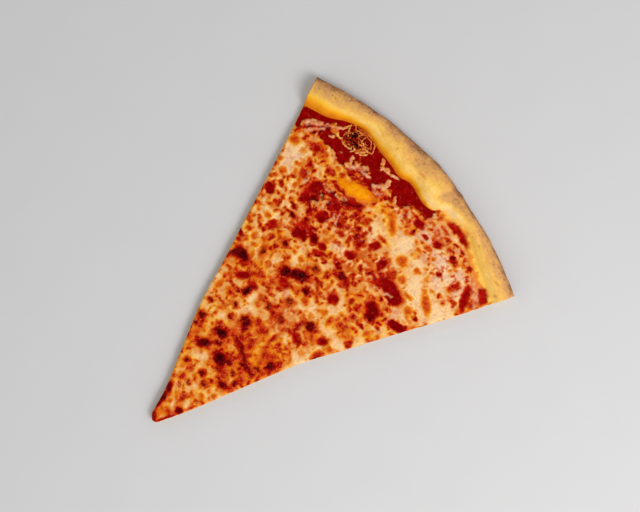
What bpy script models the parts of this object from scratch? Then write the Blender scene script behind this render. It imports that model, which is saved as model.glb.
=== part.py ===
"""A large cheese pizza slice: an eighth of a 22-inch thin-crust pie, lying on its flat base.

Metres, +Z up. The base is on Z = 0, the tip points to -Y and the rim is at +Y, and the origin is
under the middle of the slice. The shapes are worked out about the pie's centre, just past the tip:
a place on the pie is its radius and its share of the way across, -1 at the left cut and 1 at the
right one, as seen from above with the rim away from the viewer.
"""

import math

import bmesh
import bpy

MM = 0.001

# Driving dimensions
PIE_RADIUS = 280 * MM
SLICE_ANGLE = math.radians(44.5)
TIP_RADIUS = 4 * MM  # the point is worn away up to here
DOUGH = 3 * MM  # thickness under the topping
SAUCE = 1 * MM
CHEESE = 2 * MM
CHEESE_LEAST = 0.6 * MM  # where the cheese is thinnest
RIM = 15 * MM  # the height of the rim that its section is drawn for
RIM_BULGE = 5 * MM  # height at which the rim reaches furthest out
RIM_TOP_AT = 0.45  # where the rim is highest, as a share of its width from its inner foot
RIM_RESTS_AT = 0.8  # where it leaves the surface that it rests on
GAP = 0.3 * MM  # left between neighbouring pieces
CUT_INSET = 0.5 * MM  # the toppings stop short of the cut dough

# The pie's centre, as seen from the origin, which is under the middle of the slice
PIE_CENTRE = (-2.1 * MM, 0.5 * MM - (PIE_RADIUS + TIP_RADIUS) / 2)

# Outlines: (degrees from the slice's middle, millimetres)
RIM_OUTSIDE = [(-22.3, 277.3), (-8, 279.2), (0, 280.6), (4, 281), (8, 280), (22.3, 281)]
RIM_FOOT = [
    (-22.3, 255), (-18, 256), (-15, 261), (-12, 263.5), (-8, 258.5), (-3, 255), (-0.7, 257.5),
    (2.5, 254.8), (4.5, 255.5), (6, 262), (8, 263), (11, 268), (14, 264.5), (17, 262.5), (22.3, 261.5),
]  # fmt: skip
RIM_HEIGHT = [
    (-22.3, 13), (-17, 14.4), (-13.5, 14.8), (-10, 13.8), (-6, 15.6), (-2.5, 15.2), (0.5, 16.2),
    (3.2, 16.4), (4.8, 14), (7, 14.2), (10, 15), (13, 13.8), (17, 14.4), (22.3, 12.8),
]  # fmt: skip
CHEESE_EDGE = [
    (-22.3, 236), (-20.5, 247), (-17, 250), (-15, 247), (-13, 240), (-10, 237), (-4, 238.5),
    (2, 240), (3.5, 247), (5.2, 250), (6.3, 260), (8, 262), (10, 260), (12.5, 261), (14, 263),
    (17, 261.5), (19, 256), (20.5, 248), (22.3, 241),
]  # fmt: skip

# How far each cut strays outwards: (millimetres from the pie's centre, millimetres)
LEFT_CUT = [(4, -1), (25, -2), (45, -1), (70, 1), (98, 2.6), (125, 1.3), (160, 0.5), (230, -1), (280, -1)]
RIGHT_CUT = [
    (4, 3.9), (30, 3.6), (65, 1.2), (95, -1), (120, -2.3), (150, -1), (180, 0), (240, 2.4), (280, 2),
]  # fmt: skip

# Raised and thin places in the cheese, in millimetres about the pie's centre:
# (x, y, half length, half width, turn in degrees, height or depth)
BUBBLES = [
    (-22, 224, 17, 7, 12, 3.0),
    (-45, 132, 8, 6, 0, 1.6),
    (-7, 151, 12, 6, 25, 1.7),
    (26, 133, 8, 6, 0, 1.5),
    (1, 69, 9, 6, -20, 1.6),
    (-12, 83, 7, 6, 0, 1.4),
    (-6, 102, 7, 6, 0, 1.2),
    (18, 59, 7, 5, 0, 1.2),
    (-23, 117, 6, 7, 0, 1.2),
    (30, 93, 6, 5, 0, 1.0),
    (48, 175, 10, 8, -30, 1.4),
    (36, 214, 8, 7, 0, 1.0),
    (-80, 204, 10, 8, -65, 1.0),
    (70, 208, 14, 6, -30, 1.2),
]
HOLLOWS = [
    (-58, 235, 16, 6, 0, 1.4),
    (-22, 213, 17, 4, 12, 1.2),
    (-46, 200, 8, 10, 0, 0.9),
    (46, 195, 15, 6, -10, 1.4),
    (86, 231, 5, 10, 30, 1.4),
    (68, 181, 8, 5, 10, 1.3),
    (-67, 179, 6, 6, 0, 1.2),
    (-25, 176, 12, 8, 0, 0.9),
    (19, 84, 14, 3, -15, 0.9),
    (-28, 125, 10, 5, 30, 1.0),
]

# The cheese's slow waves, for both directions: height, and the lengths they run over
WAVE_HEIGHT = 0.22 * MM
WAVE_LENGTH = 8 * MM
WAVE_BEND = 13 * MM

# The clump of charred cheese shreds at the foot of the rim
CLUMP_AT = (-50 * MM, 249 * MM)
CLUMP_HALF_SIZE = (12.5 * MM, 9.5 * MM, 4.5 * MM)
CLUMP_SEGMENTS = 24
CLUMP_LUMPS = 7
CLUMP_LUMP_DEPTH = 0.06

# How finely the pieces are divided: steps go across the slice, rings from the tip to the rim
CRUST_STEPS = 48
CRUST_RINGS = 16
RIM_INNER_POINTS = 6
RIM_OUTER_POINTS = 6
RIM_UNDER_POINTS = 3
TOPPING_STEPS = 38
SAUCE_RINGS = 16
CHEESE_RINGS = 54

SHARP_ANGLE = math.radians(40)

# Colour and roughness of each piece
DOUGH_FINISH = ((0.78, 0.45, 0.16), 0.6)
SAUCE_FINISH = ((0.24, 0.003, 0.002), 0.3)
CHEESE_FINISH = ((0.6, 0.22, 0.05), 0.4)
CHARRED_FINISH = ((0.35, 0.13, 0.04), 0.6)


def curve_through(points, at):
    """The height at one place of a smooth curve through some points."""
    last = len(points) - 2
    i = next((k for k in range(last) if at < points[k + 1][0]), last)
    (x0, y0), (x1, y1) = points[i], points[i + 1]
    before, after = points[max(i - 1, 0)], points[min(i + 2, last + 1)]
    slope0 = (y1 - before[1]) / (x1 - before[0])
    slope1 = (after[1] - y0) / (after[0] - x0)
    t = min(max((at - x0) / (x1 - x0), 0), 1)
    run = x1 - x0
    return (
        (1 + 2 * t) * (1 - t) ** 2 * y0
        + t * (1 - t) ** 2 * run * slope0
        + t * t * (3 - 2 * t) * y1
        - t * t * (1 - t) * run * slope1
    )


def outline(points, share):
    """Metres, read from an outline at a share of the way across the slice."""
    return curve_through(points, share * math.degrees(SLICE_ANGLE) / 2) * MM


def on_slice(radius, share, inset=0.0):
    """Where a radius and a share fall, about the pie's centre. The cuts stray a little from straight."""
    angle = share * SLICE_ANGLE / 2
    left = curve_through(LEFT_CUT, radius / MM) * MM - inset
    right = curve_through(RIGHT_CUT, radius / MM) * MM - inset
    stray = ((1 + share) * right - (1 - share) * left) / 2
    return (
        radius * math.sin(angle) + stray * math.cos(angle),
        radius * math.cos(angle) - stray * math.sin(angle),
    )


def rounded_places(places, x, y):
    """The height at a place about the pie's centre of a list of soft-edged oval mounds."""
    height = 0.0
    for centre_x, centre_y, half_length, half_width, turn, rise in places:
        angle = math.radians(turn)
        dx, dy = x / MM - centre_x, y / MM - centre_y
        along = (dx * math.cos(angle) + dy * math.sin(angle)) / half_length
        across = (dy * math.cos(angle) - dx * math.sin(angle)) / half_width
        height += rise * math.exp(-2 * (along * along + across * across) ** 1.5)
    return height * MM


def waves(x, y):
    """Slow waves of the melted cheese."""
    along_x = math.sin(x / WAVE_LENGTH + math.sin(y / WAVE_BEND))
    along_y = math.sin(y / WAVE_LENGTH - math.sin(x / WAVE_BEND))
    return WAVE_HEIGHT * (along_x + along_y)


def new_piece(name, bm, parent, finish):
    """A named object with its own material, smooth where it is rounded, placed by the slice's empty."""
    color, roughness = finish
    mesh = bpy.data.meshes.new(name)
    bm.to_mesh(mesh)
    bm.free()
    mesh.shade_smooth()
    mesh.set_sharp_from_angle(angle=SHARP_ANGLE)
    material = bpy.data.materials.new(name)
    material.use_nodes = True
    shader = material.node_tree.nodes["Principled BSDF"]
    shader.inputs["Base Color"].default_value = (*color, 1)
    shader.inputs["Roughness"].default_value = roughness
    mesh.materials.append(material)
    piece = bpy.data.objects.new(name, mesh)
    piece.parent = parent
    return piece


def turned_wedge(section, steps):
    """Turns a closed section of (distance, height) points about an upright axis and caps both ends.
    The section lies one unit out from the axis, so that its nearest points don't meet on it."""
    bm = bmesh.new()
    verts = [bm.verts.new((1 + distance, 0, height)) for distance, height in section]
    edges = [bm.edges.new((a, b)) for a, b in zip(verts, verts[1:] + verts[:1])]
    bmesh.ops.spin(bm, geom=verts + edges, cent=(0, 0, 0), axis=(0, 0, -1), angle=SLICE_ANGLE, steps=steps)
    open_edges = [edge for edge in bm.edges if edge.is_boundary]
    caps = bmesh.ops.holes_fill(bm, edges=open_edges, sides=0)["faces"]
    bmesh.ops.triangulate(bm, faces=caps)
    bmesh.ops.recalc_face_normals(bm, faces=bm.faces)
    return bm


def read_turned(co):
    """The section's distance and height, and the share of the way across, of a turned point."""
    share = -2 * math.atan2(co.y, co.x) / SLICE_ANGLE - 1
    return math.hypot(co.x, co.y) - 1, share, co.z


def join_flat(bm, height):
    """Joins the small faces that lie flat at a height into one."""
    level = [face for face in bm.faces if all(abs(vert.co.z - height) < GAP / 100 for vert in face.verts)]
    bmesh.ops.dissolve_faces(bm, faces=level)


def rim_section():
    """The rim from its inner foot over the top and round to where it rests, as (distance, height).
    Distances run from 1 at the foot to 2 at the furthest reach."""
    section = []
    for i in range(1, RIM_INNER_POINTS):
        share = i / RIM_INNER_POINTS
        ease = (1 - math.cos(math.pi * share)) / 2
        section.append((1 + RIM_TOP_AT * share, DOUGH + (RIM - DOUGH) * ease))
    for i in range(RIM_OUTER_POINTS + 1):
        turn = math.pi / 2 * (1 - i / RIM_OUTER_POINTS)
        height = RIM_BULGE + (RIM - RIM_BULGE) * math.sin(turn)
        section.append((1 + RIM_TOP_AT + (1 - RIM_TOP_AT) * math.cos(turn), height))
    for i in range(1, RIM_UNDER_POINTS + 1):
        turn = math.pi / 2 * i / RIM_UNDER_POINTS
        height = RIM_BULGE * (1 - math.sin(turn))
        section.append((1 + RIM_RESTS_AT + (1 - RIM_RESTS_AT) * math.cos(turn), height))
    return section


def make_crust(parent):
    """The dough: a thin flat base with a puffed rim, as one solid."""
    flat = [i / CRUST_RINGS for i in range(CRUST_RINGS + 1)]
    top = [(distance, DOUGH) for distance in flat]
    underside = [(distance, 0) for distance in reversed(flat)]
    bm = turned_wedge(top + rim_section() + underside, CRUST_STEPS)
    for vert in bm.verts:
        distance, share, z = read_turned(vert.co)
        foot = outline(RIM_FOOT, share)
        if distance <= 1:
            radius = TIP_RADIUS + (foot - TIP_RADIUS) * distance
        else:
            radius = foot + (outline(RIM_OUTSIDE, share) - foot) * (distance - 1)
            z *= 1 + (outline(RIM_HEIGHT, share) / RIM - 1) * z / RIM
        vert.co = (*on_slice(radius, share), z)
    join_flat(bm, DOUGH)
    join_flat(bm, 0)
    return new_piece("crust", bm, parent, DOUGH_FINISH)


def topping_wedge(edge, bottom, thickness, rings):
    """A layer spread over the dough from the tip to its edge(share), half as thick at that edge."""
    flat = [i / rings for i in range(rings + 1)]
    top = [(distance, bottom + thickness) for distance in flat[:-1]] + [(1, bottom + thickness / 2)]
    underside = [(distance, bottom) for distance in reversed(flat)]
    bm = turned_wedge(top + underside, TOPPING_STEPS)
    start = TIP_RADIUS + CUT_INSET
    for vert in bm.verts:
        distance, share, z = read_turned(vert.co)
        radius = start + (edge(share) - start) * distance
        vert.co = (*on_slice(radius, share, CUT_INSET), z)
    join_flat(bm, bottom)
    return bm


def sauce_edge(share):
    """The sauce stops a little short of the rim's foot."""
    return outline(RIM_FOOT, share) - MM


def cheese_edge(share):
    """The cheese leaves a band of sauce bare in places and meets the rim in others."""
    return min(outline(CHEESE_EDGE, share), outline(RIM_FOOT, share) + MM / 2)


def make_sauce(parent, bottom):
    """The layer of tomato sauce, which shows at the cuts and beside the rim."""
    bm = topping_wedge(sauce_edge, bottom, SAUCE, SAUCE_RINGS)
    join_flat(bm, bottom + SAUCE)
    return new_piece("sauce", bm, parent, SAUCE_FINISH)


def make_cheese(parent, bottom):
    """The layer of melted cheese, with waves, bubbles and thin places on top."""
    bm = topping_wedge(cheese_edge, bottom, CHEESE, CHEESE_RINGS)
    for vert in bm.verts:
        x, y, z = vert.co
        if z > bottom + CHEESE_LEAST:
            z += waves(x, y) + rounded_places(BUBBLES, x, y) - rounded_places(HOLLOWS, x, y)
            vert.co.z = max(z, bottom + CHEESE_LEAST)
    return new_piece("cheese", bm, parent, CHEESE_FINISH)


def make_clump(parent, bottom):
    """A low lumpy mound of charred shreds with a flat underside, lying on the sauce."""
    bm = bmesh.new()
    bmesh.ops.create_uvsphere(bm, u_segments=CLUMP_SEGMENTS, v_segments=CLUMP_SEGMENTS // 2, radius=1)
    for vert in bm.verts:
        x, y, z = vert.co
        lump = 1 + CLUMP_LUMP_DEPTH * math.sin(CLUMP_LUMPS * math.atan2(y, x)) * math.hypot(x, y)
        vert.co = (
            CLUMP_AT[0] + x * lump * CLUMP_HALF_SIZE[0],
            CLUMP_AT[1] + y * lump * CLUMP_HALF_SIZE[1],
            bottom + max(z, 0) * lump * CLUMP_HALF_SIZE[2],
        )
    join_flat(bm, bottom)
    return new_piece("charred_shreds", bm, parent, CHARRED_FINISH)


def clear_scene():
    for obj in list(bpy.data.objects):
        bpy.data.objects.remove(obj)


def main():
    clear_scene()
    collection = bpy.data.collections.new("pizza_slice")
    bpy.context.scene.collection.children.link(collection)
    centre = bpy.data.objects.new("pie_centre", None)
    centre.location = (*PIE_CENTRE, 0)
    sauce_bottom = DOUGH + GAP
    cheese_bottom = sauce_bottom + SAUCE + GAP
    pieces = [
        make_crust(centre),
        make_sauce(centre, sauce_bottom),
        make_cheese(centre, cheese_bottom),
        make_clump(centre, cheese_bottom),
    ]
    for obj in [centre, *pieces]:
        collection.objects.link(obj)


main()
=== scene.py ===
"""Looks of the cheese pizza slice: crust, sauce, cheese and a clump of charred shreds.

Lengths in the numbers below are millimetres, and places are (x, y) about the pie's centre, with the
rim at +y. The slice's surfaces are meshes whose height and colours come from maps: arrays over the
slice, worked out from named features and seeded noise, which the meshes read as vertex attributes.
"""

import math
from collections import namedtuple

import bmesh
import bpy
import numpy as np
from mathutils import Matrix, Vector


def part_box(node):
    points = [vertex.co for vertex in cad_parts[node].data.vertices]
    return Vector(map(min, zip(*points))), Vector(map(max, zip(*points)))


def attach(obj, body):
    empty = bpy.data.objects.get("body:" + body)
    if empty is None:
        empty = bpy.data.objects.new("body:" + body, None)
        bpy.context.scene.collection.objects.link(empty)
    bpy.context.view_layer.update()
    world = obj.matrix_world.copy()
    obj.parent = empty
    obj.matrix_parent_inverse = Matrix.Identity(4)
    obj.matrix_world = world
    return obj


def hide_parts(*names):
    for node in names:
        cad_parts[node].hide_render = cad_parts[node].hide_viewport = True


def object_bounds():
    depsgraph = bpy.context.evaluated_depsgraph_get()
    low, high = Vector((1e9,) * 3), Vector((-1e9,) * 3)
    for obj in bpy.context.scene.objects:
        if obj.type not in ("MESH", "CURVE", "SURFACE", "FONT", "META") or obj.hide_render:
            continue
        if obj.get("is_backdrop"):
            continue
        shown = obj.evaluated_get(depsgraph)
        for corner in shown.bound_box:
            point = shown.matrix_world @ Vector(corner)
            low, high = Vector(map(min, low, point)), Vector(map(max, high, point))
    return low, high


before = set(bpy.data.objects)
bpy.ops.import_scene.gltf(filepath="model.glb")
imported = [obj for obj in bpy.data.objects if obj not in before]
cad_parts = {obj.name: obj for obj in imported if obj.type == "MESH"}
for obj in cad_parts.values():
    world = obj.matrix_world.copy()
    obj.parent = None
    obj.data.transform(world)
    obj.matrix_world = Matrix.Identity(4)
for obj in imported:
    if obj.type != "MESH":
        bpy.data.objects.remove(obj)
CAD_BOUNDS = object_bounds()

MM = 0.001

# The slice's outline, as in the solids: (degrees from the slice's middle, millimetres), and for the
# two cuts (radius, how far the cut strays outwards)
HALF_DEGREES = 22.25  # from the slice's middle to a cut
HALF_ANGLE = math.radians(HALF_DEGREES)
TIP_RADIUS = 4
TIP_ROUNDING = 3.4  # how much further from the pie's centre the tip's corners lie than its middle
CHEESE_REACH = 268  # about the rim's radius, to strew things over the cheese and measure along the rim
RIM_OUTSIDE = [(-22.3, 277.3), (-8, 279.2), (0, 280.6), (4, 281), (8, 280), (22.3, 281)]
RIM_FOOT = [
    (-22.3, 254), (-18, 254.8), (-15, 259.6), (-12, 261.9), (-8, 257.2), (-5.4, 255.4), (-3, 253.3),
    (-0.7, 256), (2.5, 253.6), (4.5, 255.4), (5.9, 261.5), (8, 263), (11, 268), (14, 264.5), (17, 262.5),
    (22.3, 261.5),
]  # fmt: skip
RIM_HEIGHT = [
    (-22.3, 13), (-17, 14.4), (-13.5, 14.8), (-10, 13.8), (-6, 15.6), (-2.5, 15.2), (0.5, 16.2),
    (3.2, 16.4), (4.8, 14), (7, 14.2), (10, 15), (13, 13.8), (17, 14.4), (22.3, 12.8),
]  # fmt: skip
LEFT_CUT = [(4, -1), (25, -2), (45, -1), (70, 1), (98, 2.6), (125, 1.3), (160, 0.5), (230, -1), (280, -1)]
RIGHT_CUT = [
    (4, 3.9), (30, 3.6), (65, 1.2), (95, -1), (120, -2.3), (150, -1), (180, 0), (240, 2.4), (280, 2),
]  # fmt: skip
RIM_BULGE = 5  # height at which the rim reaches furthest out
RIM_TOP_AT = 0.45  # where the rim is highest, as a share of its width from its inner foot
RIM_RESTS_AT = 0.8  # where it leaves the surface it rests on, as such a share
RIM_AROUND = 40  # about how far it is round its section from foot to rest, for its lumps and pores
CUT_LEVELS = 5  # rows of vertices up the thin base's cut faces

# A row of the rim's section: its distance from the foot as a share of the rim's width, its height as a
# share, the part of the section that it is in, and how far round the section it lies, from 0 to 1
RimRow = namedtuple("RimRow", "distance height part along")

# How baked the rim is, by shares of its width from its foot
RIM_BAKE = [
    (0, 0.14), (0.2, 0.14), (0.35, 0.24), (0.5, 0.4), (0.6, 0.5), (0.7, 0.57), (0.8, 0.63), (0.9, 0.76),
    (1, 0.9),
]  # fmt: skip
# How far the oil's gold reaches over it, by degrees from the slice's middle
RIM_GOLD = [
    (-22.3, 2.5), (-18, 1.9), (-15, 1.5), (-11, 1.2), (-7, 1.4), (-4, 1.3), (0, 1.05), (4, 0.5), (8, 0.4),
    (12, 0.5), (22.3, 0.6),
]  # fmt: skip
# Paler and browner places on it: (x, y, half length, half width, turn in degrees, strength)
RIM_PALE = [
    (-78, 258, 9, 2.4, 28, 0.4), (-47, 266, 12, 3, 6, 0.8), (-27, 268, 8, 3.4, 10, 0.7),
    (-8, 262, 7, 2.4, 0, 0.5), (13, 271, 6, 13, -24, 0.5), (40, 264.5, 12, 2.6, -8, 0.8),
    (63, 262, 8, 3, -20, 0.4), (88, 250, 8, 3, -30, 0.4), (96, 256, 5, 2, -30, 0.5),
]  # fmt: skip
RIM_BROWN = [
    (-92, 257, 7, 2.4, 30, 0.4), (-62, 269, 10, 2.4, 20, 0.5), (-20, 275, 12, 3, 8, 0.4),
    (-4, 268, 9, 6, 0, 0.5), (28, 270, 9, 4.5, -8, 0.25), (58, 268, 12, 2.6, -18, 0.4),
    (84, 262, 9, 2, -28, 0.4),
]  # fmt: skip
# Smudges of sauce on it: (x, y, half length, half width)
RIM_SMUDGES = [
    (-83, 256, 1.4, 0.8), (-41, 272, 2.6, 0.8), (-27, 265, 0.8, 2), (-12, 270, 2.2, 0.8),
    (-6, 273, 1.2, 0.7), (-1, 266, 4, 1.2), (63, 263, 2, 0.8), (92.5, 254.8, 2.8, 1.1), (99, 248, 1.6, 2),
]  # fmt: skip

# The pie's centre in the frame: the crust's box has its middle to the right of it and its far side
# beyond it. Then the heights of the thin base and the sauce.
BOX_RIGHT, BOX_BEYOND, LAYER_GAP = 2.1, 280.7, 0.3
CRUST_LOW, CRUST_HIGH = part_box("crust")
CENTRE_X = (CRUST_LOW.x + CRUST_HIGH.x) / 2 / MM - BOX_RIGHT
CENTRE_Y = CRUST_HIGH.y / MM - BOX_BEYOND
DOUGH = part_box("sauce")[0].z / MM - LAYER_GAP
SAUCE_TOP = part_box("sauce")[1].z / MM

# The clump's middle, and how far it reaches to each side, within its box
CLUMP_INSET = 0.8
CLUMP_LOW, CLUMP_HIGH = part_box("charred_shreds")
CLUMP_X = (CLUMP_LOW.x + CLUMP_HIGH.x) / 2 / MM - CENTRE_X
CLUMP_Y = (CLUMP_LOW.y + CLUMP_HIGH.y) / 2 / MM - CENTRE_Y
CLUMP_HALF_X = (CLUMP_HIGH.x - CLUMP_LOW.x) / 2 / MM - CLUMP_INSET
CLUMP_HALF_Y = (CLUMP_HIGH.y - CLUMP_LOW.y) / 2 / MM - CLUMP_INSET

# The maps' grid
CELL = 0.4
LEFT, RIGHT, NEAR, FAR = -112.0, 112.0, -2.0, 284.0
X, Y = np.meshgrid(np.arange(LEFT, RIGHT, CELL), np.arange(NEAR, FAR, CELL))
REACH = np.hypot(X, Y)
BEARING = np.degrees(np.arctan2(X, Y))
ON_CHEESE = (np.abs(BEARING) < 22.6) & (REACH < CHEESE_REACH) & (REACH > 5)

# Dark blisters in the cheese: (x, y, half length, half width, turn in degrees, strength)
BLISTERS = [
    (-4, 21, 2, 4.5, 15, 0.7), (9.5, 23.5, 3.6, 3, 0, 0.5), (-7, 29, 2.2, 3.6, 30, 0.65),
    (0, 42, 2.4, 2, 0, 0.5), (-14, 52, 2.6, 2.2, 0, 0.6), (7.5, 49, 3, 2.6, 0, 0.6),
    (1.5, 53.5, 2.6, 2.6, 0, 0.65), (17, 59, 4.4, 3.5, 10, 0.85), (7, 64, 3, 2.4, 0, 0.6),
    (22.5, 66, 2.6, 2.6, 0, 0.8), (-30, 74, 2, 2, 0, 0.7), (-14.5, 69.5, 6, 3, 42, 0.95),
    (2, 70, 6.5, 4.6, -15, 1), (7.5, 73, 4.6, 3, 20, 0.6), (16, 70, 2.6, 2.2, 0, 0.5),
    (-31, 81.5, 4.2, 3, 10, 0.65), (-12, 83, 5.2, 4, 0, 1), (-8, 76.5, 5.5, 2.3, 35, 0.6),
    (18, 79, 4, 2, 0, 0.7), (25, 85, 3, 2.2, 20, 0.5), (-35, 93, 3.2, 2, 20, 0.6),
    (-15.5, 96, 2.4, 3, 0, 0.65), (30, 93, 3.8, 3.6, 0, 1), (-20, 104.5, 3.2, 2.6, 0, 0.6),
    (-6, 102, 5.2, 4.6, 0, 0.75), (-22, 117, 3, 4.4, -10, 0.9), (-3, 121.5, 3.8, 2.6, 0, 0.6),
    (10, 121, 4.5, 3.2, 0, 0.5), (-48.8, 129, 2.8, 5, -20, 0.75), (-44.5, 132.2, 7, 4, -5, 1),
    (4, 135, 4.4, 3.2, 20, 0.5), (27, 134, 5, 3.8, 0, 0.75), (-36, 145, 2.8, 4.2, 25, 0.55),
    (-14, 147, 5.5, 4.2, 20, 0.9), (-8.5, 150.5, 5, 3.2, 35, 0.95), (-4, 153.5, 6.5, 4.2, 30, 1),
    (6, 149, 4.4, 3.2, 0, 0.75), (-29, 160.5, 3.2, 2.6, 0, 0.65), (-1, 164.5, 4.2, 3, 0, 0.5),
    (51, 170.5, 4, 3, -20, 0.75), (-41, 178, 3.6, 2.0, 0, 0.85), (-18, 178, 4.4, 3, -30, 0.75),
    (16, 175, 5, 3, 15, 0.75), (48, 177.5, 5.5, 3.4, 0, 0.5),
]  # fmt: skip

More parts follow.
